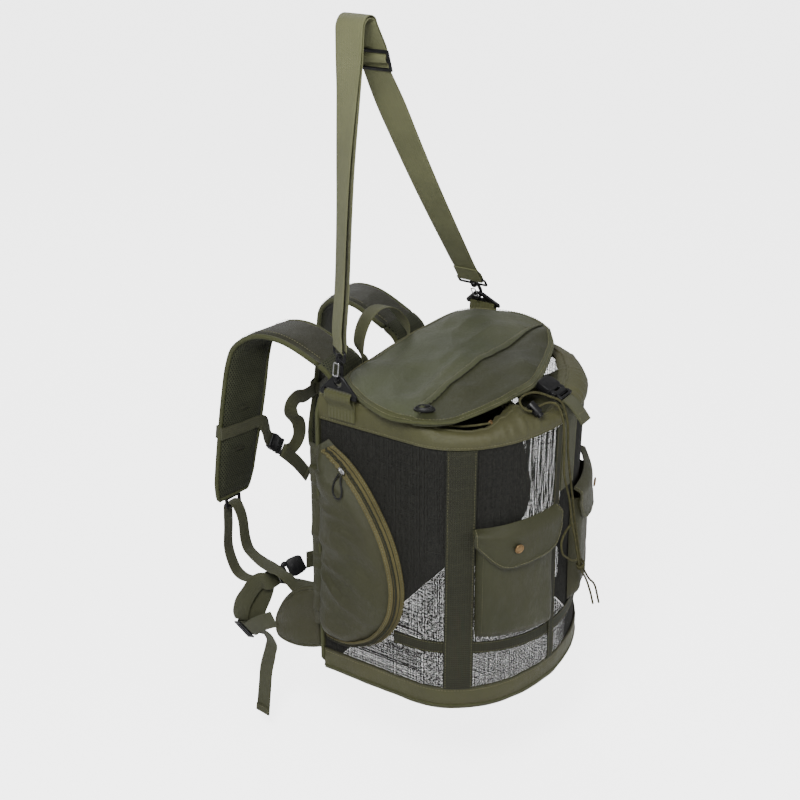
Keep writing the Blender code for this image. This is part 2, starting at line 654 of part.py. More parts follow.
for x, _, z, half, angle in leg[1:]:
    path.append(leg_point(x, z, half, angle, 1))
left_w = Vector(left_w)
left_w = (left_w - left_up * left_w.dot(left_up)).normalized()
eye_n = left_up.cross(left_w).normalized()
eye_n = eye_n if eye_n.x > 0 else -eye_n
path.append((*(left_eye + eye_n * 0.0030 + left_up * 0.0080), *left_w))
for a in (-10, -50, -90, -130, -170):
    c, s = math.cos(math.radians(a)), math.sin(math.radians(a))
    path.append((*(left_eye + eye_n * 0.0030 * c + left_up * 0.0030 * s), *left_w))
path.append((*(left_eye - eye_n * 0.0030 + left_up * 0.0080), *left_w))
for x, _, z, half, angle in reversed(leg[1:]):
    path.append(leg_point(x, z, half, angle, -1))
for a in (180, 165, 140, 115, 90, 65, 40, 12):
    r = 0.0159
    c, s = math.cos(math.radians(a)), math.sin(math.radians(a))
    path.append((PEG.x + r * c, 0.100, PEG.z + r * s, 0.02, -1.0, 0.0))
path += [slide(-0.0170, 0.0056), slide(-0.0120, 0.0056), slide(-0.0070, 0.0046), slide(0.0, 0.0030),
         slide(0.0060, 0.0026), slide(0.0120, 0.0026), slide(0.0170, 0.0022)]
start = Vector(path[-1][:3])
run = (right_eye + Vector(right_up) * 0.030) - start
for k in range(1, 8):
    t = k / 7
    p = start + run * t
    p += Vector((run.z, 0, -run.x)).normalized() * (0.004 * math.sin(math.pi * t))
    path.append((*p, 0.30 * (1 - t), -1.0, 0.15 * (1 - t)))
out_n = Vector((right_up.z, 0, -right_up.x))
for u, v in ((0.012, 0.0030), (0.004, 0.0030)):
    path.append((*(right_eye + right_up * u + out_n * v), 0.0, -1.0, 0.0))
for a in (-10, -50, -90, -130, -170):
    c, s = math.cos(math.radians(a)), math.sin(math.radians(a))
    path.append((*(right_eye + out_n * 0.0030 * c + right_up * 0.0030 * s), 0.0, -1.0, 0.0))
for u, v in ((0.006, -0.0026), (0.014, -0.0022), (0.027, -0.0018)):
    path.append((*(right_eye + right_up * u + out_n * v), 0.0, -1.0, 0.0))
web("carry_strap", path, W38, "webbing_olive", raw=True, thick=0.0013)

slider_frame = frame_at(SLIDE_C, (0.10, -1.0, 0.0), SLIDE_DIR)
slider = block("strap_slider", (0.0470, 0.0290, 0.0024), slider_frame, "plastic_black", bevel=0.0006)
for k, t in enumerate((-0.0063, 0.0063)):
    cut(slider, block(f"slider_gap_{k}", (0.0400, 0.0085, 0.02),
                      slider_frame @ Matrix.Translation((0, t, 0)), None, True))

# Shoulder straps: padded, curving back from the top of the back panel
STRAP = [  # y, z, turn of the pad about the upright, x outwards
    (0.1515, 0.3960, 0, 0.078), (0.1620, 0.4180, 0, 0.079), (0.1900, 0.4340, 0, 0.080),
    (0.2340, 0.4510, -3, 0.083), (0.2740, 0.4500, -7, 0.087), (0.3030, 0.4290, -12, 0.091),
    (0.3140, 0.4000, -15, 0.094), (0.3210, 0.3500, -17, 0.098), (0.3300, 0.2890, -15, 0.101),
    (0.3380, 0.2350, -10, 0.104), (0.3430, 0.1860, -6, 0.108),
]
for side, sign in (("left", -1), ("right", 1)):
    line = smooth([(x * sign, y, z, turn) for y, z, turn, x in STRAP], 0.031)
    rows = []
    for i, (x, y, z, turn) in enumerate(line):
        a, b = line[max(i - 1, 0)], line[min(i + 1, len(line) - 1)]
        along = Vector((0.0, b[1] - a[1], b[2] - a[2])).normalized()
        turn = math.radians(turn)
        across = Vector((math.cos(turn), -sign * math.sin(turn), 0.0))
        across = (across - along * across.dot(along)).normalized()
        half = PAD_W / 2 * (0.80 if i == len(line) - 1 else 0.95 if i == len(line) - 2 else 1.0)
        rows.append([Vector((x, y, z)) + across * half * k for k in (-1.0, 0.0, 1.0)])
    obj = sheet("shoulder_strap_" + side, rows, PAD_T, "cloth_olive", 0.0)
    mod = obj.modifiers.new("edges", "BEVEL")
    mod.width = 0.003
    mod.segments = 1
    mod.limit_method = "ANGLE"
    mod.angle_limit = math.radians(60)

# Fitting under each pad and the one webbing that runs through it: free tail, fitting, back panel
LOWER = [  # x outwards, y, z
    (0.150, 0.1900, 0.0900), (0.150, 0.2050, 0.1000), (0.150, 0.2180, 0.1100), (0.150, 0.2320, 0.1130),
    (0.142, 0.2520, 0.1100), (0.130, 0.2820, 0.1070), (0.120, 0.3110, 0.1150), (0.112, 0.3240, 0.1540),
    (0.110, 0.3330, 0.1690), (0.1085, 0.3395, 0.1740), (0.1085, 0.3475, 0.1742), (0.108, 0.3530, 0.1650),
    (0.108, 0.3550, 0.1300), (0.109, 0.3560, 0.0900), (0.110, 0.3400, 0.0560), (0.110, 0.3150, 0.0520),
    (0.108, 0.2900, 0.0590), (0.102, 0.2600, 0.0640), (0.098, 0.2200, 0.0680), (0.098, 0.1800, 0.0700),
    (0.098, 0.1590, 0.0650), (0.098, 0.1505, 0.0520), (0.098, 0.1489, 0.0380),
]
for side, sign in (("left", -1), ("right", 1)):
    top = Vector((0.108 * sign, 0.3436, 0.1878))
    lean = math.radians(6) * sign
    lock_frame = frame_at(top + Vector((0, 0.0, -0.0115)), (math.cos(lean), math.sin(lean), 0), (0, 0.05, 1.0))
    lock = block("pad_lock_" + side, (0.0300, 0.0180, 0.0040), lock_frame, "plastic_black", bevel=0.0008)
    cut(lock, block("lock_gap_" + side, (0.0220, 0.0095, 0.02),
                    lock_frame @ Matrix.Translation((0, -0.001, 0)), None, True))
    web("lower_webbing_" + side, [
        (x * sign, y, z, 1, -0.6 * sign if 2 < k < 6 else 0, 0) for k, (x, y, z) in enumerate(LOWER)],
        W20, "webbing_olive", step=0.0145)

# Chest strap
turn = Vector((math.cos(math.radians(-15)), math.sin(math.radians(-15)), 0.0))
for side, sign in (("left", -1), ("right", 1)):
    c = Vector((0.1000 * sign, 0.3285, 0.2960))
    ax = Vector((turn.x, turn.y * -sign, 0.0))
    nn = Vector((-ax.y, ax.x, 0.0))
    table = []
    if side == "left":
        table = [(-0.0479, 0.3180, 0.2557, 0.67, 0, 0.74), (-0.0523, 0.3172, 0.2597, 0.67, 0, 0.74),
                 (-0.0580, 0.3155, 0.2690, 0.35, 0, 0.9), (-0.0605, 0.3150, 0.2780, 0.15, 0, 0.97)]
    for u, v in ((0.0300, -0.0072), (0.0, -0.0072), (-0.0345, -0.0072), (-0.0366, -0.0050), (-0.0366, 0.0050),
                 (-0.0345, 0.0072), (0.0, 0.0072), (0.0345, 0.0072), (0.0366, 0.0050), (0.0366, 0.0000)):
        p = c + ax * u + nn * v
        table.append((*p, 0.0, -0.147, 1.0))
    web("chest_loop_" + side, table, W20, "webbing_olive", raw=True, thick=0.0013)

chest_frame = frame_at((-0.0350, 0.3195, 0.2440), (0.74, 0.0, -0.67), (0.67, 0.1, 0.74))
block("chest_buckle", (0.0340, 0.0250, 0.0085), chest_frame, "plastic_black", bevel=0.002)
web("chest_webbing", [
    (0.0360, 0.3150, 0.1610, 0.65, 0, 0.75), (0.0220, 0.3130, 0.1780, 0.65, 0, 0.75),
    (0.0050, 0.3135, 0.1990, 0.6, 0, 0.8), (-0.0160, 0.3150, 0.2210, 0.66, 0.05, 0.75),
    (-0.0196, 0.3172, 0.2258, 0.67, 0.1, 0.74), (-0.0166, 0.3212, 0.2250, 0.67, 0.1, 0.74),
    (-0.0050, 0.3235, 0.2180, 0.55, 0.05, 0.83), (0.0100, 0.3200, 0.2200, 0, 0.2, 1.0),
    (0.0180, 0.3150, 0.2380, -0.8, 0.5, 0.5), (0.0120, 0.3120, 0.2620, -0.8, 0.6, 0.0),
    (-0.0040, 0.3110, 0.2800, -0.6, 0.6, 0.3), (-0.0050, 0.3110, 0.2950, -0.6, 0.5, 0.5), (0.0120, 0.3120, 0.3020, 0, 0.4, 1.0), (0.0330, 0.3140, 0.2960, 0, 0.2, 1.0),
    (0.0634, 0.3172, 0.2952, 0, 0, 1.0)], W20, "webbing_olive", step=0.0075)

# Hip wings and belt
for side, sign in (("left", -1), ("right", 1)):
    grid = []
    for y, x, z0, z1 in ((0.1490, 0.1600, 0.0280, 0.1180), (0.1660, 0.1640, 0.0230, 0.1160),
                         (0.1850, 0.1680, 0.0200, 0.1080), (0.2030, 0.1700, 0.0230, 0.0900),
                         (0.2160, 0.1700, 0.0290, 0.0660), (0.2210, 0.1690, 0.0360, 0.0560)):
        grid.append([Vector((x * sign, y, z)) for z in span(z0, z1, 3)])
    if sign < 0:
        grid.reverse()
    sheet("hip_wing_" + side, grid, 0.007, "cloth_olive", 0.0)

HIP_SLIDE = Vector((-0.1590, 0.2920, -0.0010))
hip_across = Vector((0.30, -0.52, -0.78)).normalized()
hip_frame = frame_at(HIP_SLIDE, hip_across, (0.30, 0.75, -0.38))
hip_slider = block("hip_slider", (0.0330, 0.0190, 0.0026), hip_frame, "plastic_black", bevel=0.0006)
for k, t in enumerate((-0.0042, 0.0042)):
    cut(hip_slider, block(f"hip_gap_{k}", (0.0262, 0.0052, 0.02),
                          hip_frame @ Matrix.Translation((0, t, 0)), None, True))


def hip(t, out, along=0.0):
    """A row of the belt at the slider: t along it, out off its plane."""
    p = hip_frame @ Vector((along, t, out))
    return (*p, *hip_across)


web("hip_web_left", [(-0.1690, 0.2273, 0.0450, 0, -0.1, -1), (-0.1690, 0.2420, 0.0360, 0.1, -0.3, -0.9),
                     (-0.1680, 0.2600, 0.0230, 0.2, -0.45, -0.85), hip(-0.0190, 0.0012),
                     hip(-0.0120, 0.0024), hip(-0.0072, 0.0024)], W25, "webbing_olive", step=0.007)
hip_dir = Vector((0.85, -0.50, 0.30)).normalized()
buckle_frame = frame_at((-0.1095, 0.2410, 0.0942), hip_dir, (0.1, 0.45, 0.85))
block("hip_buckle", (0.0420, 0.0320, 0.0110), buckle_frame, "plastic_black", bevel=0.003)


def belt(t, out):
    """A row of the belt at the buckle's bar: t along the buckle, out off its plane."""
    p = buckle_frame @ Vector((t, 0.0, out))
    across = buckle_frame.to_3x3() @ Vector((0.0, -1.0, 0.0))
    return (*p, *across)


path = smooth([
    (-0.1580, 0.2650, -0.1380, 0.05, 1, 0), (-0.1560, 0.2610, -0.0950, 0.1, 1, 0),
    (-0.1545, 0.2575, -0.0600, 0.12, 1, -0.05), (-0.1528, 0.2510, -0.0320, 0.2, 0.97, -0.14),
    (-0.1524, 0.2468, -0.0110, 0.28, 0.90, -0.32)], 0.013)
ARC = 0.021                             # the tail leaves the slider level and turns down round this radius
for a in (84, 63, 42, 21, 0):
    c, s = math.cos(math.radians(a)), math.sin(math.radians(a))
    p = hip_frame @ Vector((ARC * (1 - c), -0.0145 - ARC * s, 0.0046 + 0.0052 * a / 80))
    across = hip_frame.to_3x3() @ Vector((c, s, 0.0))
    path.append((*p, *across))
path += [hip(-0.0080, 0.0043), hip(0.0, 0.0042), hip(0.0095, 0.0042), hip(0.0125, 0.0050), hip(0.0137, 0.0067),
         hip(0.0125, 0.0084)]
path += smooth([
    hip(0.0050, 0.0094), hip(-0.0050, 0.0104), hip(-0.0150, 0.0140), (-0.1500, 0.2745, 0.0300, 0.24, -0.54, -0.80),
    (-0.1420, 0.2690, 0.0520, 0.15, -0.53, -0.83), (-0.1385, 0.2640, 0.0690, 0.05, -0.52, -0.85),
    belt(-0.0360, -0.0034), belt(-0.0262, -0.0026)], 0.012)
path += [belt(-0.0240, -0.0020), belt(-0.0226, 0.0), belt(-0.0240, 0.0020)]
path += smooth([
    belt(-0.0262, 0.0026), belt(-0.0400, 0.0050), (-0.1480, 0.2700, 0.0830, 0.15, -0.45, -0.85),
    (-0.1580, 0.2800, 0.0660, 0.35, -0.35, -0.85), hip(-0.0250, 0.0190, -0.0380),
    hip(-0.0160, 0.0130, -0.0300), hip(-0.0080, 0.0088, -0.0220), hip(-0.0025, 0.0070, -0.0130)], 0.012)
web("hip_belt_left", path, W25, "webbing_olive", raw=True)
web("hip_web_right", [
    (-0.0872, 0.2286, 0.1010, 0.0, 0.2, 1), (-0.0750, 0.2240, 0.0990, 0.05, 0.1, 1),
    (-0.0400, 0.2160, 0.0860, 0, 0.1, 1), (0.0200, 0.2180, 0.0620, 0, 0, 1), (0.0700, 0.2280, 0.0480, 0, 0, 1),
    (0.1200, 0.2400, 0.0420, 0, 0, 1), (0.1520, 0.2390, 0.0430, 0, 0, 1), (0.1692, 0.2231, 0.0460, 0, 0, 1)],
    W25, "webbing_olive", step=0.014)

# Grab handle behind the lid
web("grab_handle", [
    (-0.0600, 0.1405, 0.4125, 1, 0, 0), (-0.0600, 0.1405, 0.4200, 1, 0, 0), (-0.0680, 0.1405, 0.4340, 0.8, 0.6, 0),
    (-0.0745, 0.1400, 0.4500, 0.3, 1, 0), (-0.0710, 0.1400, 0.4680, 0.1, 1, 0), (-0.0570, 0.1400, 0.4850, 0, 1, 0),
    (-0.0350, 0.1400, 0.4920, 0, 1, 0), (-0.0100, 0.1400, 0.4870, 0, 1, 0), (0.0120, 0.1400, 0.4740, 0, 1, 0),
    (0.0330, 0.1400, 0.4520, 0.1, 1, 0), (0.0450, 0.1405, 0.4300, 0.7, 0.7, 0), (0.0480, 0.1405, 0.4190, 1, 0, 0),
    (0.0480, 0.1405, 0.4125, 1, 0, 0)], W20, "webbing_olive", step=0.0105)

# Lid buckle, its anchor strip and tail
rows = []
edge_s = (s_of(-0.0140), s_of(0.0235))
for s in reach(*edge_s):
    u = (s - edge_s[0]) / (edge_s[1] - edge_s[0]) - 0.5
    rows.append([wall(s, LIFT, z) for z in upward(0.2870, 0.3855)] + [
        wall(s, LIFT + 0.0007, 0.3940), Vector((u * 0.030 - 0.001, -0.1335, 0.4045)),
        Vector((u * 0.026 - 0.003, -0.1236, 0.4122))])
sheet("buckle_anchor", rows, WEB, "webbing_olive")
lid_buckle_frame = frame_at((-0.0030, -0.1120, 0.4238), (1, 0, 0), (0.0, -0.93, -0.36))
block("lid_buckle", (0.0310, 0.0400, 0.0100), lid_buckle_frame, "plastic_black", bevel=0.0025)
web("buckle_tail", [
    (-0.0030, -0.1312, 0.4163, 1, 0, 0), (-0.0030, -0.1410, 0.4110, 1, 0, 0), (-0.0040, -0.1530, 0.4000, 1, 0, 0),
    (-0.0040, -0.1610, 0.3900, 1, 0, 0)], W25, "webbing_olive", thick=0.0026, step=0.010)

# Cord lock with its plunger
LOCK_C = Vector((-0.0620, -0.1160, 0.4197))
lock_frame = frame_at(LOCK_C, (1, 0, 0), (0.0, 0.6, -0.8))
body = disc("cord_lock", 0.0062, 0.0170, lock_frame, "plastic_black", sides=16, bevel=0.0008)
cut(body, disc("lock_bore", 0.0046, 0.0170, lock_frame @ Matrix.Translation((0, 0, -0.0025)), None, True, 16))
cut(body, block("lock_slot", (0.0300, 0.0036, 0.0068), lock_frame @ Matrix.Translation((0, 0, 0.0005)), None,
                True))
# Its button's slot is long enough for the button's travel past the cord
plunger = disc("cord_lock_plunger", 0.0041, 0.0156, lock_frame @ Matrix.Translation((0, 0, -0.0057)),
               "plastic_black", sides=14, bevel=0.0006)
cut(plunger, block("plunger_slot", (0.0300, 0.0036, 0.0074),
                   lock_frame @ Matrix.Translation((0, 0, -0.0028)), None, True))

# Drawcord: two strands from the lock over the collar to a knot, their free tails, and the stretch across the gap
DRAWCORD = [
    (0.0660, -0.1560, 0.0790), (0.0540, -0.1560, 0.1050), (0.0380, -0.1560, 0.1330), (0.0184, -0.1560, 0.1596),
    (0.0106, -0.1555, 0.1760), (-0.0020, -0.1540, 0.2180), (-0.0110, -0.1520, 0.2480), (-0.0200, -0.1510, 0.2840),
    (-0.0360, -0.1500, 0.3240), (-0.0400, -0.1500, 0.3600), (-0.0430, -0.1500, 0.3850), (-0.0440, -0.1470, 0.4080),
    (-0.0450, -0.1390, 0.4240), (-0.0475, -0.1270, 0.4250), (-0.0540, LOCK_C.y - 0.0008, LOCK_C.z - 0.0006),
    (-0.0700, LOCK_C.y - 0.0008, LOCK_C.z - 0.0006), (-0.0765, -0.1100, 0.4230),
    (-0.0730, -0.1010, 0.4300), (-0.0600, -0.1010, 0.4340), (-0.0480, -0.1100, 0.4350), (-0.0390, -0.1260, 0.4300),
    (-0.0350, -0.1400, 0.4240), (-0.0340, -0.1480, 0.4050), (-0.0320, -0.1500, 0.3850), (-0.0290, -0.1500, 0.3550),
    (-0.0200, -0.1500, 0.3200), (-0.0110, -0.1510, 0.2840), (-0.0030, -0.1520, 0.2480), (0.0060, -0.1545, 0.2080),
    (0.0150, -0.1560, 0.1742), (0.0243, -0.1560, 0.1594), (0.0460, -0.1560, 0.1310), (0.0680, -0.1560, 0.1080),
    (0.0860, -0.1560, 0.0700),
]
TURN = next(k for k, p in enumerate(DRAWCORD) if p[0] == -0.0700)   # where it leaves the lock
tube("drawcord", smooth(DRAWCORD[:TURN], 0.017) + smooth(DRAWCORD[TURN:], 0.017), CORD_R, "cord_olive", res=1)
knot_c, knot_d = Vector((0.0172, -0.1559, 0.1672)), Vector((0.48, 0.0, -0.88)).normalized()
knot_s = Vector((0.88, 0.0, 0.48))
coil = []
for k in range(19):
    a = 2 * math.pi * 2 * k / 18
    coil.append(knot_c + knot_d * (-0.0034 + 0.0068 * k / 18) + knot_s * 0.0060 * math.cos(a)
                + Vector((0, 1, 0)) * 0.0042 * math.sin(a))
tube("cord_knot", coil, CORD_R, "cord_olive", res=1)
tube("drawcord_loop", [
    (-0.0075, -0.1491, 0.2380), (-0.0210, -0.1485, 0.2330), (-0.0340, -0.1500, 0.2240), (-0.0330, -0.1520, 0.2080),
    (-0.0210, -0.1530, 0.1960), (-0.0070, -0.1540, 0.1850), (0.0069, -0.1545, 0.1790)],
    CORD_R, "cord_olive", step=0.010, res=1)
tube("drawcord_gap", [
    (-0.1484, -0.0190, 0.4082), (-0.1424, -0.0462, 0.4096), (-0.1290, -0.0666, 0.4101),
    (-0.1100, -0.0806, 0.4096)],
    CORD_R, "cord_olive", step=0.012, res=1)

# Zip slider and cord pull on the left side pocket
slide_at = Vector((-0.1900, 0.0905, 0.3290))
slide_frame = frame_at(slide_at, (0.0, 0.62, 0.78), (0.3, 0.78, -0.62))
block("zip_slider", (0.0110, 0.0080, 0.0032), slide_frame, "wire_steel", bevel=0.0008)
ZIP_PULL = [  # from the slider
    (-0.0030, 0.0012, -0.0026), (-0.0038, 0.0064, -0.0140), (-0.0050, 0.0072, -0.0260), (-0.0055, 0.0020, -0.0345),
    (-0.0060, -0.0050, -0.0330), (-0.0060, -0.0075, -0.0230), (-0.0050, -0.0040, -0.0120),
    (-0.0032, -0.0020, -0.0040),
]
tube("zip_pull", [slide_at + Vector(v) for v in ZIP_PULL], 0.0011, "rubber_black", step=0.0075, res=1)
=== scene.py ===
"""Foraging backpack: how it looks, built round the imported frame.

Points are written in the bag's own frame, as in the CAD source, and shifted by HANG into the frame's."""

import json
import math

import bmesh
import bpy
from mathutils import Matrix, Vector, noise


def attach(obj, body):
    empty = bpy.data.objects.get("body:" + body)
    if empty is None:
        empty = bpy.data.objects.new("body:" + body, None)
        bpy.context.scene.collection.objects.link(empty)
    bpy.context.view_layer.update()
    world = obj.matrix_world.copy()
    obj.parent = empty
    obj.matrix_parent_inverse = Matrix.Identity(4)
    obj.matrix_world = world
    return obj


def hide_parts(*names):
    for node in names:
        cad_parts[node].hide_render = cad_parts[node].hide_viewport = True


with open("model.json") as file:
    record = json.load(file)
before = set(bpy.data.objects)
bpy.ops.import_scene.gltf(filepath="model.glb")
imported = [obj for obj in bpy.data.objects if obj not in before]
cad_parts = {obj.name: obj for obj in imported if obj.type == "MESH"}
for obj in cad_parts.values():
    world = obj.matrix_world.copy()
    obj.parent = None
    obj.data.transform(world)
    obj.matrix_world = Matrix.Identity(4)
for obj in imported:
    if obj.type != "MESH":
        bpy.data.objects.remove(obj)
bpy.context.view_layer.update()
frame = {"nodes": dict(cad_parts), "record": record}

HANG = Vector((-0.128, 0.100, 0.886))   # the frame's origin, seen from the bag's
HALF_W, NOSE, NOSE_Y, BACK_Y = 0.172, 0.124, -0.010, 0.135      # the wall's plan: half an oval, then straight
WALL_TOP = 0.394
CLOTH, WEB, GAP = 0.0016, 0.0014, 0.0004                        # thicknesses, and the gap between layers
CORD_R = 0.0015
UP = Vector((0.0, 0.0, 1.0))
BAG_MIDDLE = Vector((0.12, -0.05, -0.65))
SCENE = bpy.context.scene
NODES = frame["nodes"]
SLOTS = {row["node"]: row["material_slot"] for row in frame["record"]["subparts"]}

# ---------------------------------------------------------------- camera and light
camera = bpy.data.objects.new("camera", bpy.data.cameras.new("camera"))
SCENE.collection.objects.link(camera)
SCENE.camera = camera
camera.data.lens, camera.data.sensor_width = 63.0, 36.0
camera.data.clip_start, camera.data.clip_end = 0.05, 50.0
turned = Matrix(((0.5446, -0.8387, 0.0), (0.3478, 0.2258, 0.9100), (-0.7632, -0.4956, 0.4147)))
turned = turned.transposed().to_4x4()
turned.translation = Vector((-1.481, -0.838, 1.153)) - HANG
camera.matrix_world = turned

SCENE.world = bpy.data.worlds.new("studio")
SCENE.world.use_nodes = True
nodes = SCENE.world.node_tree.nodes
sky = nodes["Background"].inputs
sky["Strength"].default_value = 0.66
ways, parts, rays, soft_box, backdrop = (nodes.new("ShaderNode" + kind) for kind in (
    "TexCoord", "SeparateXYZ", "LightPath", "MapRange", "MapRange"))
for key, number in (("From Min", -0.6), ("From Max", 0.8), ("To Min", 0.34), ("To Max", 0.84)):
    soft_box.inputs[key].default_value = number         # lighter overhead, dimmer below
backdrop.inputs["To Max"].default_value = 6.0           # the pale paper behind the bag
for source, socket in (
        (ways.outputs["Generated"], parts.inputs[0]), (parts.outputs[2], soft_box.inputs["Value"]),
        (rays.outputs["Is Camera Ray"], backdrop.inputs["Value"]),
        (soft_box.outputs[0], backdrop.inputs["To Min"]), (backdrop.outputs[0], sky["Color"])):
    SCENE.world.node_tree.links.new(source, socket)

for name, spot, size, power, target in (
        ("key", (-1.25, -0.55, 0.75), 0.6, 47.0, Vector((0.05, 0.0, -0.45))),
        ("front", (0.2, -2.0, 0.1), 0.9, 13.0, BAG_MIDDLE), ("rim", (1.6, 1.6, 1.2), 1.2, 17.0, BAG_MIDDLE)):
    lamp = bpy.data.objects.new(name, bpy.data.lights.new(name, "AREA"))
    SCENE.collection.objects.link(lamp)
    lamp.data.shape, lamp.data.size, lamp.data.energy = "DISK", size, power
    lamp.location = spot
    lamp.rotation_mode = "QUATERNION"
    lamp.rotation_quaternion = (Vector(spot) - target).to_track_quat("Z", "Y")

# ---------------------------------------------------------------- materials
GRAIN = "grain"                         # the UV map, in metres along and across each cloth


class Surface:
    """A material's nodes, added one by one; a socket or a number may stand wherever one is wanted."""

    def __init__(self, name, metal=0.0, rough=0.7, sheen=0.0, spec=0.5):
        self.made = bpy.data.materials.new(name)
        self.made.use_nodes = True
        self.tree = self.made.node_tree
        self.shader = self.tree.nodes["Principled BSDF"].inputs
        for key, number in (("Metallic", metal), ("Roughness", rough), ("Sheen Weight", sheen),
                            ("Sheen Roughness", 0.45), ("Specular IOR Level", spec)):
            self.shader[key].default_value = number
        self.here = self.tree.nodes.new("ShaderNodeTexCoord").outputs["Object"]
        uv, parts = self.tree.nodes.new("ShaderNodeUVMap"), self.tree.nodes.new("ShaderNodeSeparateXYZ")
        uv.uv_map = GRAIN
        self.put(parts.inputs[0], uv.outputs["UV"])
        self.u, self.v = parts.outputs[0], parts.outputs[1]

    def put(self, socket, value):
        if isinstance(value, bpy.types.NodeSocket):
            self.tree.links.new(value, socket)
        else:
            socket.default_value = value

    def node(self, kind, *values):
        """A new node with its first inputs filled in."""
        node = self.tree.nodes.new("ShaderNode" + kind)
        for socket, value in zip(node.inputs, values):
            self.put(socket, value)
        return node

    def math(self, op, a, b=0.0, c=0.0):
        node = self.node("Math", a, b, c)
        node.operation = op
        return node.outputs[0]

    def less(self, value):
        return self.math("SUBTRACT", 1.0, value)

    def noise(self, scale, detail=2.0, rough=0.5, stretch=None):
        node = self.node("TexNoise")
        at = self.here
        if stretch:
            mapped = self.node("Mapping", at)
            mapped.inputs["Scale"].default_value = stretch
            at = mapped.outputs[0]
        for key, value in (("Vector", at), ("Scale", scale), ("Detail", detail), ("Roughness", rough)):
            self.put(node.inputs[key], value)
        return node.outputs["Fac"]

    def ramp(self, value, low, high, out_low=0.0, out_high=1.0):
        return self.node("MapRange", value, low, high, out_low, out_high).outputs[0]

    def mix(self, share, a, b):
        node = self.node("Mix")
        node.data_type = "RGBA"
        self.put(node.inputs["Factor"], share)
        for key, value in (("A", a), ("B", b)):
            socket = [s for s in node.inputs if s.name == key and s.type == "RGBA"][0]
            self.put(socket, value if isinstance(value, bpy.types.NodeSocket) else (*value, 1.0))
        return [s for s in node.outputs if s.type == "RGBA"][0]

    def mottled(self, value, low, high, dark, light):
        """A colour that goes from dark to light as value goes from low to high."""
        return self.mix(self.ramp(value, low, high), dark, light)

    def over(self, tone, value, share, colour):
        """The colour laid over tone, as value says and no more than share."""
        return self.mix(self.math("MULTIPLY", value, share), tone, colour)

    def wave(self, value, pitch):
        """Between 0 and 1 and back, once each pitch metres."""
        turns = self.math("MULTIPLY_ADD", value, 2 * math.pi / pitch, 0.0)
        return self.math("MULTIPLY_ADD", self.math("SINE", turns), 0.5, 0.5)

    def finish(self, tone, height, depth, strength, rough=None):
        """The surface's colour, its relief of depth metres and, where it changes, its roughness."""
        self.put(self.shader["Base Color"], tone)
        if rough is not None:
            self.put(self.shader["Roughness"], rough)
        node = self.node("Bump")
        for key, value in (("Strength", strength), ("Distance", depth), ("Height", height)):
            self.put(node.inputs[key], value)
        self.put(self.shader["Normal"], node.outputs[0])
        return self.made


def scaled(colour, k):
    return tuple(min(1.0, c * k) for c in colour)


def cloth_surface(name, colour, shade=0.24, weave=0.0009, contrast=0.30, rough=0.47):
    """Plain woven cloth: over and under threads, faint slubs, wrinkles, and slow changes of shade."""
    s = Surface(name, rough=rough, sheen=0.03, spec=0.30)
    waves = [s.math("SINE", s.math("MULTIPLY", way, 2 * math.pi / weave)) for way in (s.u, s.v)]
    thread = s.math("MULTIPLY_ADD", s.math("MULTIPLY", *waves), 0.5, 0.5)
    slub = s.noise(420.0, 2.0, 0.6, (1.0, 1.0, 0.25))
    tone = s.mottled(s.noise(9.0, 3.0, 0.55), 0.3, 0.7, scaled(colour, 1 - shade), scaled(colour, 1 + shade))
    warm = s.ramp(s.noise(5.0, 2.0, 0.5), 0.42, 0.66, 0.0, 0.6)
    tone = s.mix(warm, tone, (colour[0] * 1.28, colour[1] * 1.10, colour[2] * 1.22))
    tone = s.over(tone, s.ramp(slub, 0.35, 0.75), 0.35, scaled(colour, 1.45))
    # painted shade: the weave's low points between threads are darkened
    tone = s.over(tone, s.less(thread), contrast, scaled(colour, 0.45))
    crease = s.noise(34.0, 4.0, 0.6)
    fold = s.math("ABSOLUTE", s.math("SUBTRACT", s.noise(17.0, 3.0, 0.5, (1.0, 1.0, 0.65)), 0.5))
    high = s.math("MULTIPLY_ADD", crease, 1.1, s.math("MULTIPLY", fold, 5.0))
    return s.finish(tone, s.math("MULTIPLY_ADD", thread, 0.14, high), 0.0012, 0.8,
                    s.ramp(slub, 0.3, 0.7, rough - 0.08, rough + 0.1))


def web_surface(name, colour, column=0.0036, pitch=0.0019, contrast=0.45):
    """Webbing: columns of slanting yarns that meet in chevrons, with a groove between two columns."""
    s = Surface(name, rough=0.6, sheen=0.05, spec=0.25)
    cell = s.math("FRACT", s.math("DIVIDE", s.u, column))
    fold = s.math("ABSOLUTE", s.math("SUBTRACT", cell, 0.5))
    yarn = s.wave(s.math("MULTIPLY_ADD", fold, column * 1.1, s.v), pitch)
    high = s.math("MULTIPLY", s.math("POWER", yarn, 0.7), s.ramp(fold, 0.42, 0.5, 1.0, 0.35))
    fluff = s.noise(900.0, 2.0, 0.6)
    tone = s.mottled(s.noise(16.0, 3.0, 0.5), 0.3, 0.7, scaled(colour, 0.86), scaled(colour, 1.12))
    # painted shade: the yarns' hollows and the groove between columns are darkened as the height falls
    tone = s.over(tone, s.less(high), contrast, scaled(colour, 0.38))
    tone = s.over(tone, s.ramp(fluff, 0.5, 0.8), 0.25, scaled(colour, 1.6))
    return s.finish(tone, s.math("MULTIPLY_ADD", fluff, 0.25, high), 0.0006, 0.9)


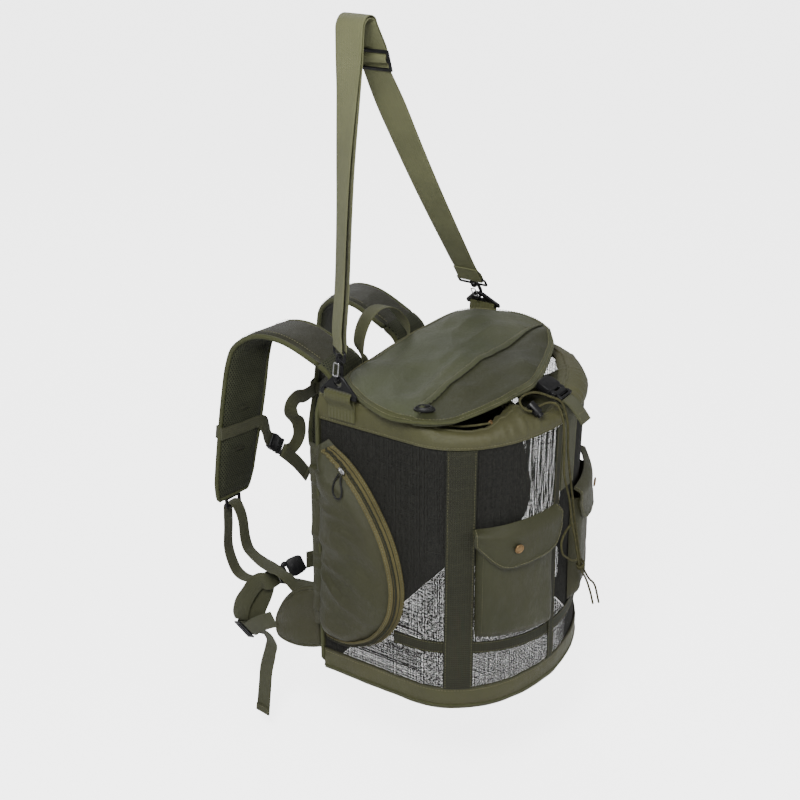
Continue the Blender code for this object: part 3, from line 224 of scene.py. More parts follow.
def check_surface(name, colour, pitch=0.0030, contrast=0.62):
    """Dark webbing with a coarse check, and shallow curved rows where it is pulled."""
    s = Surface(name, rough=0.6, sheen=0.03, spec=0.2)
    check = s.math("MULTIPLY", s.wave(s.u, pitch), s.wave(s.v, pitch))
    rib = s.wave(s.v, 0.0011)
    bow = s.math("POWER", s.math("SINE", s.math("MULTIPLY", s.u, math.pi / 0.026)), 2.0)
    row = s.ramp(s.wave(s.math("MULTIPLY_ADD", bow, -0.0035, s.v), 0.0155), 0.93, 0.99)
    tone = s.mottled(s.noise(14.0, 3.0, 0.5), 0.3, 0.7, scaled(colour, 0.8), scaled(colour, 1.2))
    # painted highlight on the raised check, and painted shade between the ribs
    tone = s.over(tone, check, contrast, scaled(colour, 2.1))
    tone = s.over(tone, s.less(rib), 0.35, scaled(colour, 0.4))
    tone = s.over(tone, row, 0.10, scaled(colour, 3.0))
    return s.finish(tone, s.math("ADD", check, s.math("MULTIPLY", rib, 0.4)), 0.0006, 0.9)


def tape_surface(name, colour, pitch=0.0013, contrast=0.35):
    """Ribbed binding tape: fine ribs across it."""
    s = Surface(name, rough=0.6, sheen=0.04, spec=0.22)
    rib, fluff = s.wave(s.v, pitch), s.noise(800.0, 2.0, 0.6)
    tone = s.mottled(s.noise(22.0, 3.0, 0.5), 0.3, 0.7, scaled(colour, 0.82), scaled(colour, 1.15))
    # painted shade: darker between the ribs
    tone = s.over(tone, s.less(rib), contrast, scaled(colour, 0.45))
    tone = s.over(tone, s.ramp(fluff, 0.5, 0.8), 0.25, scaled(colour, 1.5))
    return s.finish(tone, s.math("MULTIPLY_ADD", fluff, 0.3, rib), 0.0004, 0.8)


def cord_surface(name, colour, pitch=0.0021):
    """Braided cord: two sets of yarns winding round it."""
    s = Surface(name, rough=0.75, spec=0.15)
    braid = s.math("MAXIMUM", *(s.wave(s.math(op, s.u, s.v), pitch) for op in ("ADD", "SUBTRACT")))
    tone = s.mottled(s.noise(260.0, 1.0, 0.5), 0.56, 0.62, scaled(colour, 0.95), scaled(colour, 1.35))
    # painted shade: the hollows between the braid's yarns are darkened
    return s.finish(s.over(tone, s.less(braid), 0.9, scaled(colour, 0.45)), braid, 0.0005, 0.9)


def net_surface(name, colour):
    s = Surface(name, rough=0.6, sheen=0.03, spec=0.2)
    fleck = s.noise(300.0, 2.0, 0.6)
    return s.finish(s.mottled(fleck, 0.3, 0.7, scaled(colour, 0.6), scaled(colour, 1.6)), fleck, 0.0003, 0.6)


def airmesh_surface(name, colour, pitch=0.0037):
    """Spacer cloth: rows of small open cells between knitted ribs."""
    s = Surface(name, rough=0.75, sheen=0.05, spec=0.15)
    rows = [s.wave(s.math(op, s.u, s.math("MULTIPLY", s.v, 0.577)), pitch) for op in ("ADD", "SUBTRACT")]
    hole = s.ramp(s.math("MULTIPLY", *rows), 0.28, 0.60)
    tone = s.mottled(s.noise(25.0, 2.0, 0.5), 0.3, 0.7, scaled(colour, 0.85), scaled(colour, 1.2))
    # painted shade: the open cells are painted near black where the bump sinks
    return s.finish(s.mix(hole, tone, scaled(colour, 0.12)), s.less(hole), 0.0012, 1.0)


def plastic_surface(name, colour, rough=0.42):
    """Moulded plastic: a fine spark-eroded grain, rubbed smoother and paler here and there."""
    s = Surface(name, rough=rough, spec=0.24)
    worn = s.noise(90.0, 4.0, 0.65)
    tone = s.mottled(worn, 0.45, 0.75, colour, scaled(colour, 2.4))
    return s.finish(tone, s.noise(1500.0, 3.0, 0.6), 0.00015, 0.5,
                    s.ramp(worn, 0.3, 0.7, rough + 0.1, rough - 0.1))


def metal_surface(name, colour, rough=0.3):
    s = Surface(name, metal=1.0, rough=rough)
    fine = s.noise(700.0, 3.0, 0.6, (1.0, 1.0, 0.15))
    tone = s.mottled(s.noise(60.0, 3.0, 0.6), 0.35, 0.7, scaled(colour, 0.7), scaled(colour, 1.15))
    return s.finish(tone, fine, 0.0001, 0.4, s.ramp(fine, 0.3, 0.7, rough - 0.08, rough + 0.14))


OLIVE = (0.0285, 0.0300, 0.0118)
STRAP_OLIVE = (0.178, 0.184, 0.088)
MATERIALS = {name: surface(name, *rest) for name, surface, *rest in (
    ("cloth_olive", cloth_surface, OLIVE),
    # a paler, greener copy of the olive cloth for the lid, which faces up: painted sheen
    ("lid_cloth", cloth_surface, (0.043, 0.049, 0.022), 0.20),
    ("rim_cloth", cloth_surface, (0.052, 0.052, 0.0205), 0.30),
    ("band_cloth", cloth_surface, (0.047, 0.049, 0.0195), 0.30),
    # a darker copy of the lid's cloth for its front part, which hangs off the zip line: painted shade
    ("lid_front", cloth_surface, (0.0235, 0.0262, 0.0100)),
    ("strap_cloth", cloth_surface, scaled(OLIVE, 0.50)),
    # the olive webbing made darker: painted shade in its colour
    ("webbing_low", web_surface, scaled(STRAP_OLIVE, 0.33)),
    ("webbing_hand", web_surface, scaled(STRAP_OLIVE, 0.55)),
    ("webbing_tab", web_surface, (0.068, 0.070, 0.026), 0.0050),
    ("webbing_olive", web_surface, scaled(STRAP_OLIVE, 0.78)),
    ("webbing_dark", check_surface, (0.0165, 0.0172, 0.0085)),
    ("net_black", net_surface, (0.012, 0.012, 0.010)),
    ("binding_olive", tape_surface, (0.050, 0.054, 0.0205)),
    ("zip_olive", tape_surface, (0.085, 0.073, 0.027), 0.0017, 0.3),
    ("cord_olive", cord_surface, (0.066, 0.063, 0.028)),
    ("airmesh_dark", airmesh_surface, (0.034, 0.037, 0.0205)),
    ("thread", tape_surface, (0.165, 0.160, 0.082), 0.0009, 0.4),
    ("thread_dark", tape_surface, (0.130, 0.125, 0.060), 0.0009, 0.4),
    ("plastic_black", plastic_surface, (0.0042, 0.0042, 0.0045)),
    ("rubber_black", plastic_surface, (0.006, 0.006, 0.006), 0.5),
    ("wire_steel", metal_surface, (0.52, 0.52, 0.53)),
    ("brass_snap", metal_surface, (0.27, 0.175, 0.085), 0.42))}
for node, slot in SLOTS.items():
    NODES[node].data.materials.clear()
    NODES[node].data.materials.append(MATERIALS[slot])


# ---------------------------------------------------------------- building pieces
def place(name, mesh, material, replaces=(), body="bag"):
    """A finished mesh in the bag's frame becomes a piece that rides on its body."""
    mesh.materials.clear()
    mesh.materials.append(MATERIALS[material])
    mesh.transform(Matrix.Translation(-HANG))
    for poly in mesh.polygons:
        poly.use_smooth = True
    mesh.set_sharp_from_angle(angle=math.radians(38.0))
    obj = bpy.data.objects.new(name, mesh)
    SCENE.collection.objects.link(obj)
    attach(obj, body)
    for node in replaces:
        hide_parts(node)
    return obj


def from_lists(name, points, faces, uvs=None):
    mesh = bpy.data.meshes.new(name)
    mesh.from_pydata([tuple(p) for p in points], [], faces)
    layer = mesh.uv_layers.new(name=GRAIN)
    if uvs:
        flat = []
        for loop in mesh.loops:
            flat.extend(uvs[loop.vertex_index])
        layer.data.foreach_set("uv", flat)
    return mesh


def sealed(mesh, weld=0.0):
    """Its faces turned outwards, after points nearer than weld are joined."""
    bm = bmesh.new()
    bm.from_mesh(mesh)
    if weld:
        bmesh.ops.remove_doubles(bm, verts=bm.verts, dist=weld)
    bmesh.ops.recalc_face_normals(bm, faces=bm.faces)
    bm.to_mesh(mesh)
    bm.free()
    return mesh


def swept(name, rings, uvs, closed=False):
    """A skin over rings of points, as many in each, closed at its ends or joined into a loop."""
    count, sides = len(rings), len(rings[0])
    faces = []
    for i in range(count if closed else count - 1):
        a, b = i * sides, (i + 1) % count * sides
        faces += [(a + k, a + (k + 1) % sides, b + (k + 1) % sides, b + k) for k in range(sides)]
    if not closed:
        faces += [tuple(reversed(range(sides))), tuple(range((count - 1) * sides, count * sides))]
    return from_lists(name, [p for ring in rings for p in ring], faces, uvs)


def lengths(points):
    run = [0.0]
    for a, b in zip(points, points[1:]):
        run.append(run[-1] + (b - a).length)
    return run


def clamp(value):
    return min(1.0, max(0.0, value))


def span(a, b, n):
    return [a + (b - a) * k / n for k in range(n + 1)]


def eased(table, at):
    """The table's second number where its first is at, read in straight steps."""
    for (a, low), (b, high) in zip(table, table[1:]):
        if at <= b:
            return low + (high - low) * (at - a) / (b - a)
    return table[-1][1]


def ahead_at(points, i):
    """The way on from point number i, of no set length."""
    return points[min(i + 1, len(points) - 1)] - points[max(i - 1, 0)]


def skin_mesh(name, rows, low, high, closed=False):
    """A skin on both sides of rows of points; low and high give each side's distance along the normal."""
    wide, tall = len(rows[0]), len(rows)
    down = lengths([row[wide // 2] for row in rows])
    sides, uvs, faces = ([], []), [], []
    for i, row in enumerate(rows):
        grown = lengths(row)
        for j, p in enumerate(row):
            before = rows[i - 1 if (i or closed) else 0][j]
            after = rows[(i + 1) % tall if closed else min(i + 1, tall - 1)][j]
            normal = (after - before).cross(ahead_at(row, j)).normalized()
            for side, out in zip(sides, (low, high)):
                side.append(p + normal * out(i / (tall - 1), j / (wide - 1)))
            uvs.append((grown[j], down[i]))
    half = wide * tall
    for i in range(tall if closed else tall - 1):
        a, b = i * wide, (i + 1) % tall * wide
        for j in range(wide - 1):
            faces.append((half + a + j, half + b + j, half + b + j + 1, half + a + j + 1))
            faces.append((a + j + 1, b + j + 1, b + j, a + j))
        faces.append((a, b, half + b, half + a))
        faces.append((half + a + wide - 1, half + b + wide - 1, b + wide - 1, a + wide - 1))
    if not closed:
        for j in range(wide - 1):
            faces.append((j + 1, j, half + j, half + j + 1))
            e = (tall - 1) * wide
            faces.append((half + e + j + 1, half + e + j, e + j, e + j + 1))
    return from_lists(name, sides[0] + sides[1], faces, uvs + uvs)


def sheet(name, rows, thick, material, replaces=(), offset=1.0, closed=False):
    """A thick sheet through rows of points. offset 1 grows it along the rows' normals, -1 against."""
    low, high = thick * (offset - 1) / 2, thick * (offset + 1) / 2
    mesh = skin_mesh(name, rows, lambda a, b: low, lambda a, b: high, closed)
    return place(name, mesh, material, replaces)


def spline(points, step):
    """Catmull-Rom through rows of numbers, read off every step metres of the first three."""
    rows = [tuple(float(v) for v in p) for p in points]
    wide = len(rows[0])
    rows = [tuple(2 * rows[0][k] - rows[1][k] for k in range(wide))] + rows
    rows.append(tuple(2 * rows[-1][k] - rows[-2][k] for k in range(wide)))
    fine = []
    for i in range(1, len(rows) - 2):
        p0, p1, p2, p3 = rows[i - 1], rows[i], rows[i + 1], rows[i + 2]
        for n in range(16):
            t = n / 16
            fine.append(tuple(
                0.5 * (2 * b + (c - a) * t + (2 * a - 5 * b + 4 * c - d) * t * t
                       + (3 * b - a - 3 * c + d) * t ** 3)
                for a, b, c, d in zip(p0, p1, p2, p3)))
    fine.append(rows[-2])
    run = [0.0]
    for a, b in zip(fine, fine[1:]):
        run.append(run[-1] + math.dist(a[:3], b[:3]))
    count = max(2, round(run[-1] / step))
    out, i = [], 0
    for n in range(count + 1):
        want = run[-1] * n / count
        while i < len(run) - 2 and run[i + 1] < want:
            i += 1
        t = min(max((want - run[i]) / max(run[i + 1] - run[i], 1e-12), 0.0), 1.0)
        out.append(tuple(a + (b - a) * t for a, b in zip(fine[i], fine[i + 1])))
    return out


def frames_along(points):
    """Two directions across the path at each point, turning as little as they can."""
    out, side = [], None
    for i in range(len(points)):
        along = ahead_at(points, i).normalized()
        if side is None:
            side = UP if abs(along.z) < 0.9 else Vector((1, 0, 0))
        side = (side - along * side.dot(along)).normalized()
        out.append((side, along.cross(side)))
    return out


def tube_mesh(name, points, radii, sides=10, closed=False, frames=None, squash=1.0):
    """A round or oval tube; radii is one number or one for each point, squash the second radius's share."""
    points = [Vector(p) for p in points]
    radii = [radii] * len(points) if isinstance(radii, float) else radii
    if closed:
        frames = frames or frames_along(points + points[:1])[:-1]
    frames = frames or frames_along(points)
    turns = [2 * math.pi * k / sides for k in range(sides)]
    rings = [[p + (a * math.cos(t) + b * math.sin(t) * squash) * r for t in turns]
             for p, (a, b), r in zip(points, frames, radii)]
    uvs = [(k / sides * 2 * math.pi * r, down) for r, down in zip(radii, lengths(points)) for k in range(sides)]
    return swept(name, rings, uvs, closed)


def tube(name, points, radii, material, replaces=(), body="bag", **more):
    return place(name, tube_mesh(name, points, radii, **more), material, replaces, body)


def merged(name, meshes):
    """Several meshes as one."""
    bm = bmesh.new()
    for mesh in meshes:
        bm.from_mesh(mesh)
        bpy.data.meshes.remove(mesh)
    made = bpy.data.meshes.new(name)
    bm.to_mesh(made)
    bm.free()
    return made


def spine(node, thick, width, start=None):
    """A webbing solid's middle line, read from the frame: a list of (middle, half width vector) in order."""
    bm = bmesh.new()
    bm.from_mesh(NODES[node].data)
    bmesh.ops.remove_doubles(bm, verts=bm.verts, dist=2e-5)
    bm.normal_update()
    best = {}
    for v in bm.verts:
        for e in v.link_edges:
            o, miss = e.other_vert(v), abs(e.calc_length() - thick)
            if miss < 0.0004 and v.normal.dot(o.normal) < 0.75 and miss < best.get(v.index, (1.0,))[0]:
                best[v.index] = (miss, o.index)
    pair = {}
    for i, (_, j) in best.items():
        if j in best and best[j][1] == i:
            pair[i] = pair[j] = (min(i, j), max(i, j))
    links = {p: set() for p in pair.values()}
    for f in bm.faces:
        ids = {pair.get(v.index) for v in f.verts}
        if len(ids) == 2 and None not in ids:
            a, b = ids
            links[a].add(b)
            links[b].add(a)
    loop = [min(links)]
    while True:
        ahead = [p for p in sorted(links[loop[-1]]) if p not in loop]
        if not ahead:
            break
        loop.append(ahead[0])
    bm.verts.ensure_lookup_table()
    at = [(bm.verts[i].co + bm.verts[j].co) / 2 + HANG for i, j in loop]
    bm.free()
    n = len(at)
    rows = min(([(at[(i + r) % n], at[(i - 1 - r) % n]) for r in range(n // 2)] for i in range(n)),
               key=lambda rs: sum(abs((a - b).length - width) for a, b in rs))
    rows = [((a + b) / 2, (b - a) / 2) for a, b in rows]
    if start is not None and (rows[-1][0] - Vector(start)).length < (rows[0][0] - Vector(start)).length:
        rows = [(m, -h) for m, h in reversed(rows)]
    return rows


SELVEDGE = ((-1.0, 0.0), (-0.985, 0.62), (-0.94, 0.95), (-0.6, 1.0), (-0.2, 1.0), (0.2, 1.0), (0.6, 1.0),
            (0.94, 0.95), (0.985, 0.62), (1.0, 0.0))


def webbing_mesh(name, rows, thick, width, step=0.003, soften=0.0):
    """Flat webbing with rounded selvedges along rows of (middle, half width vector)."""
    path = spline([(*m, *h) for m, h in rows], step)
    mids = [Vector(p[:3]) for p in path]
    section = SELVEDGE + tuple((x, -y) for x, y in reversed(SELVEDGE[1:-1]))
    rings = []
    for i, p in enumerate(path):
        along = ahead_at(mids, i).normalized()
        side = Vector(p[3:6])
        side = (side - along * side.dot(along)).normalized()
        normal = along.cross(side)
        ripple = soften * noise.noise(mids[i] * 38.0)
        rings.append([mids[i] + side * (x * width / 2) + normal * (y * thick / 2 + ripple * (1 - x * x))
                      for x, y in section])
    return swept(name, rings, [(x * width / 2 + 0.1, down) for down in lengths(mids) for x, y in section])


STITCHES = {}


def stitch(path, normals, kind="thread", long=0.0027, gap=0.0015, wide=0.0009, high=0.0004):
    """A row of stitches, each a low rounded bead, laid on a surface."""
    path = [Vector(p) for p in path]
    run = lengths(path)
    spot = gap / 2
    store = STITCHES.setdefault(kind, ([], []))
    while spot + long < run[-1]:
        ends = []
        for want in (spot, spot + long):
            j = max(k for k in range(len(run)) if run[k] <= want)
            j = min(j, len(run) - 2)
            t = (want - run[j]) / max(run[j + 1] - run[j], 1e-9)
            ends.append((path[j].lerp(path[j + 1], t), normals[j].lerp(normals[j + 1], t).normalized()))
        (a, na), (b, nb) = ends
        along = (b - a).normalized()
        side = along.cross((na + nb) / 2).normalized() * wide / 2
        base = len(store[0])
        store[0].extend([a - side - na * 0.0002, a + side - na * 0.0002, b + side - nb * 0.0002,
                         b - side - nb * 0.0002,
                         a.lerp(b, 0.22) - side * 0.4 + na * high, a.lerp(b, 0.22) + side * 0.4 + na * high,
                         a.lerp(b, 0.78) + side * 0.4 + nb * high, a.lerp(b, 0.78) - side * 0.4 + nb * high])
        store[1].extend([tuple(base + k for k in face) for face in (
            (3, 2, 1, 0), (4, 5, 6, 7), (0, 1, 5, 4), (1, 2, 6, 5), (2, 3, 7, 6), (3, 0, 4, 7))])
        spot += long + gap


FRONT = Vector((-0.76, -0.50, 0.41))


# webbing is by default the darker copy of the olive webbing, with painted shade in its colour
def webbing(name, node, thick, width, material="webbing_low", start=None, step=0.003, soften=0.0, sewn=(),
            fold=0.0):
    """The piece that stands for a webbing solid. sewn is the (from, to) metres along it of a stitched box;
    fold is how much of its first end is turned over towards the front."""
    rows = spine(node, thick, width, start)
    mesh = webbing_mesh(name, rows, thick, width, step, soften)
    path = [(Vector(p[:3]), Vector(p[3:6])) for p in spline([(*m, *h) for m, h in rows], 0.001)]
    mids = [mid for mid, half in path]
    run = lengths(mids)
    if fold:
        part = [k for k, r in enumerate(run) if r <= fold]
        turned = []
        for k in part:
            normal = ahead_at(mids[:len(part)], k).cross(path[k][1]).normalized()
            turned.append((mids[k] + normal * math.copysign(thick * 0.95, normal.dot(FRONT)), path[k][1]))
        mesh = merged(name, [mesh, webbing_mesh(name, turned, thick * 0.9, width, 0.0015)])
    part = [k for k, r in enumerate(run) if sewn and sewn[0] <= r <= sewn[1]]
    for side in (1, -1) if sewn else ():
        lines = {share: [] for share in (-0.78, 0.78)}
        ends = {part[0]: [], part[-1]: []}
        for k in part:
            along = ahead_at(mids, k).normalized()
            half = path[k][1]
            half = (half - along * half.dot(along)).normalized()
            normal = along.cross(half) * side
            lift = thick * (1.42 if run[k] <= fold and normal.dot(FRONT) > 0 else 0.5)
            for share in (-0.78, -0.4, 0.0, 0.4, 0.78):
                spot = (mids[k] + half * share * width / 2 + normal * lift, normal)
                for store in (lines.get(share), ends.get(k)):
                    if store is not None:
                        store.append(spot)
        for spots in list(lines.values()) + list(ends.values()):
            stitch(*zip(*spots))
    return place(name, mesh, material, (node,))


# ---------------------------------------------------------------- the basket's wall, as in the CAD source
STEPS = 120
QUARTER = []                            # (length, x, y) along a quarter of the oval from the front middle
for k in range(STEPS + 1):
    angle = math.pi / 2 * k / STEPS
    spot = (HALF_W * math.sin(angle), NOSE_Y - NOSE * math.cos(angle))
    QUARTER.append((QUARTER[-1][0] + math.dist(QUARTER[-1][1:], spot) if QUARTER else 0.0, *spot))
NOSE_S = QUARTER[-1][0]
END_S = NOSE_S + BACK_Y - NOSE_Y
DRAWN_IN = ((0.0, 0.0), (0.05, 0.0), (0.20, 0.0035), (0.394, 0.0010), (0.46, 0.0010))      # at each height


def wall(s, out, z):
    """The basket's outside at s metres right of the front middle, out metres off it, at height z."""
    out = out - eased(DRAWN_IN, z)
    side = -1.0 if s < 0 else 1.0
    a = abs(s)
    if a >= NOSE_S:
        return Vector((side * (HALF_W + out), NOSE_Y + a - NOSE_S, z))
    lo = min(int(a / NOSE_S * STEPS), STEPS - 1)
    while QUARTER[lo][0] > a:
        lo -= 1
    while QUARTER[lo + 1][0] < a:
        lo += 1
    (a0, x0, y0), (a1, x1, y1) = QUARTER[lo:lo + 2]
    t = (a - a0) / (a1 - a0)
    x, y = x0 + (x1 - x0) * t, y0 + (y1 - y0) * t
    normal = Vector((x / HALF_W ** 2, (y - NOSE_Y) / NOSE ** 2, 0.0)).normalized()
    return Vector((side * (x + normal.x * out), y + normal.y * out, z))


def wall_normal(s):
    return (wall(s, 0.01, 0.1) - wall(s, 0.0, 0.1)).normalized()


def s_of(x):
    """How far along the wall it is x metres right of the middle."""
    s = eased([(x_there, s_there) for s_there, x_there, _ in QUARTER], abs(x))
    return -s if x < 0 else s


def ruffle(s, z, seed, across=26.0, down=11.0):
    """Soft uneven folds on the wall, between -1 and 1."""
    return noise.noise(Vector((s * across, z * down, seed))) + 0.45 * noise.noise(
        Vector((s * across * 2.3, z * down * 2.1, seed + 7.0)))


def wall_patch(name, s_values, z_values, out, thick, material, replaces=()):
    """Cloth on the wall; out is a function of s and z. z_values run from the top down."""
    sheet(name, [[wall(s, out(s, z), z) for s in s_values] for z in z_values], thick, material, replaces)


def wall_stitch(spots, out, kind="thread"):
    """Stitches through (s, z) spots, out metres off the wall."""
    stitch([wall(s, out(s, z), z) for s, z in spots], [wall_normal(s) for s, z in spots], kind)


# Net: flattened strands up and round, knitted at each crossing
PITCH_S, PITCH_Z = 0.0014, 0.0016
NET_FOOT, FLOOR_Z, HEM = 0.0024, 0.001, 0.002
NET = {"uprights": ([], [], []), "levels": ([], [], []), "floor": ([], [], [])}


def jitter(k, seed):
    """Strand number k's own small shift."""
    return 0.0004 * (noise.cell(Vector((k + 0.5, seed, 0.5))) - 0.5)


def strand(kind, points, wides, normals, half_wide, half_thick):
    store = NET[kind]
    base = len(store[0])
    for p, w, n in zip(points, wides, normals):
        store[0].extend([p + w * half_wide, p + n * half_thick, p - w * half_wide, p - n * half_thick])
        store[2].extend([(0.0, p.z), (half_wide, p.z), (2 * half_wide, p.z), (half_wide, p.z)])
    for i in range(len(points) - 1):
        for k in range(4):
            m = (k + 1) % 4
            a, b = base + i * 4, base + i * 4 + 4
            store[1].append((a + k, a + m, b + m, b + k))
    e = base + (len(points) - 1) * 4
    store[1].append((base + 3, base + 2, base + 1, base))
    store[1].append((e, e + 1, e + 2, e + 3))


count = round(2 * END_S / PITCH_S)
for k in range(1, count):
    s = -END_S + 2 * END_S * k / count + jitter(k, 2.5)
    points = [wall(s + 0.0002 * noise.noise(Vector((s * 90, z * 30, 3.0))), -CLOTH / 2, z)
              for z in span(NET_FOOT, WALL_TOP, 9)]
    ahead = (wall(s + 0.0005, 0, 0.1) - wall(s - 0.0005, 0, 0.1)).normalized()
    strand("uprights", points, [ahead] * len(points), [ahead.cross(UP)] * len(points), 0.00043, 0.00024)
stops = span(-END_S, END_S, 88)
outward = [(wall(s + 0.001, 0, 0.1) - wall(s - 0.001, 0, 0.1)).normalized().cross(UP) for s in stops]
count = round((WALL_TOP - NET_FOOT) / PITCH_Z)
for k in range(1, count):
    z = NET_FOOT + (WALL_TOP - NET_FOOT) * k / count + jitter(k, 7.5)
    points = [wall(s, -CLOTH / 2, z + 0.0003 * noise.noise(Vector((s * 14, z * 60, 9.0)))) for s in stops]
    strand("levels", points, [UP] * len(points), outward, 0.00035, 0.00020)
for k in range(-120, 121):
    x = k * PITCH_S + jitter(k, 4.5)
    front = NOSE_Y - (NOSE - HEM) * math.sqrt(max(0.0, 1 - (x / (HALF_W - HEM)) ** 2))
    strand("floor", [Vector((x, front, FLOOR_Z)), Vector((x, BACK_Y - 0.001, FLOOR_Z))],
           [Vector((1, 0, 0))] * 2, [UP] * 2, 0.00042, 0.00024)
for k in range(165):
    y = -0.131 + k * PITCH_Z
    reach = (HALF_W - HEM) * (math.sqrt(max(0.0, 1 - ((y - NOSE_Y) / (NOSE - HEM)) ** 2)) if y < NOSE_Y else 1.0)
    if reach > 0.004:
        strand("floor", [Vector((-reach, y, FLOOR_Z)), Vector((reach, y, FLOOR_Z))],
               [Vector((0, 1, 0))] * 2, [UP] * 2, 0.00034, 0.00020)
for kind, node in (("uprights", "mesh_wall"), ("levels", "mesh_wall"), ("floor", "mesh_floor")):
    place("net_" + kind, from_lists("net_" + kind, *NET[kind]), "net_black", (node,))

# Bottom band with a piped seam near its lower edge
S_FINE = span(-END_S, END_S, 150)
BAND_TOP, BAND_FOOT, PIPING_Z = 0.0335, 0.0022, 0.0075


def band_out(s, z):
    low = (z - BAND_FOOT) / (BAND_TOP - BAND_FOOT)
    return GAP + 0.0009 * math.sin(math.pi * low) + 0.0019 * max(0.0, ruffle(s, z, 1.0, 21.0, 30.0) + 0.2)


wall_patch("bottom_cloth", S_FINE, span(BAND_TOP, BAND_FOOT, 9), band_out, CLOTH, "band_cloth",
           ("bottom_band",))
tube("bottom_piping", [wall(s, band_out(s, PIPING_Z) + CLOTH + 0.0003, PIPING_Z) for s in S_FINE],
     0.0013, "binding_olive", sides=8)
tube("bottom_edge", [wall(s, band_out(s, BAND_TOP) + CLOTH / 2, BAND_TOP + 0.0003) for s in S_FINE], 0.0014,
     "cloth_olive", sides=8)
wall_stitch([(s, 0.0306) for s in S_FINE], lambda s, z: band_out(s, z) + CLOTH)

# Webbing strips and the level band on the net
STRIP_S, TAPE_S = (s_of(-0.1625), s_of(-0.1410)), (s_of(-0.029), s_of(-0.0165))
OVER = GAP + 0.0002
LIFT = OVER + WEB + GAP                 # the strips lie over the level band
STRIP_TOP = 0.3855


def strip_out(s, z):
    return LIFT + 0.0005 * max(0.0, noise.noise(Vector((s * 20, z * 22, 4.0))))


for name, node, s0, s1, count, inset in (
        ("upright_strip_left", "front_strip_left", *STRIP_S, 6, 0.0022),
        ("upright_strip_right", "front_strip_right", -STRIP_S[1], -STRIP_S[0], 6, 0.0022),
        ("middle_tape", "centre_tape", *TAPE_S, 4, 0.0015)):
    wall_patch(name, span(s0, s1, count), span(STRIP_TOP, 0.0345, 90), strip_out, WEB, "webbing_dark", (node,))
    for s in (s0 + inset, s1 - inset):
        wall_stitch([(s, z) for z in span(0.384, 0.036, 70)], lambda s, z: strip_out(s, z) + WEB, "thread_dark")


def level_z(s):
    return 0.083 + 0.016 * min(1.0, abs(s) / 0.17) ** 1.5 - 0.009 * max(0.0, (abs(s) - 0.17) / 0.156)


sheet("level_tape", [[wall(s, OVER, level_z(s) + h) for h in (-0.0085, -0.004, 0.0, 0.004, 0.0085)]
                     for s in span(-NOSE_S - 0.031, NOSE_S + 0.031, 120)], WEB, "webbing_dark", ("level_band",))
for h in (-0.0067, 0.0067):
    wall_stitch([(s, level_z(s) + h) for s in span(-NOSE_S - 0.030, NOSE_S + 0.030, 200)],
                lambda s, z: OVER + WEB, "thread_dark")

# Side pockets
POCKET = [
    (0.1335, 0.3690), (0.1150, 0.3520), (0.0920, 0.3360), (0.0690, 0.3120), (0.0460, 0.2780),
    (0.0260, 0.2390), (0.0140, 0.1990), (0.0090, 0.1610), (0.0160, 0.1220), (0.0400, 0.0850),
    (0.0760, 0.0630), (0.1150, 0.0555), (0.1335, 0.0560),
]
POCKET_BULGE, POCKET_BACK = 0.021, BACK_Y - 0.0015
POCKET_LINE = [(p[1], p[2]) for p in spline([(0.0, y, z) for y, z in POCKET], 0.006)]


def swell(share, edge):
    """From 0 to 1 over the first edge of it, rounding off."""
    return math.sin(math.pi / 2 * min(1.0, share / edge))


def pocket_point(t, r, soft=1.0):
    """t runs round the curved edge from top to bottom, r from that edge to the back edge."""
    f = t * (len(POCKET_LINE) - 1)
    k = min(int(f), len(POCKET_LINE) - 2)
    (y0, z0), (y1, z1) = POCKET_LINE[k:k + 2]
    y, z = y0 + (y1 - y0) * (f - k), z0 + (z1 - z0) * (f - k)
    depth = POCKET_BACK - y
    back_z = 0.360 + (0.063 - 0.360) * t
    yy, zz = y + depth * r, z + (back_z - z) * r
    room = max(depth, 0.0)
    rise = swell(r * room, 0.030) ** 0.75
    late = max(0.0, (r - 0.55) / 0.45)
    fall = math.cos(math.pi / 2 * late) ** 0.6 + soft * (0.22 if room > 0.05 else 0.0) * late
    high = POCKET_BULGE * min(1.0, room / 0.06) ** 0.6 * rise * fall
    sag = noise.noise(Vector((yy * 11 + 2.5 * zz, zz * 21 - yy * 9, 2.0)))
    crease = 1 - abs(noise.noise(Vector((yy * 9 + zz * 6, zz * 30 - yy * 14, 8.0)))) * 2.2
    high += soft * rise * (0.0044 * sag + 0.0050 * max(0.0, crease) * (0.25 + 0.75 * clamp((r - 0.35) / 0.4)))
    return Vector((-(HALF_W - eased(DRAWN_IN, zz) + GAP + high), yy, zz))


def mirrored(p, flip):
    return Vector((-p.x, p.y, p.z)) if flip else p


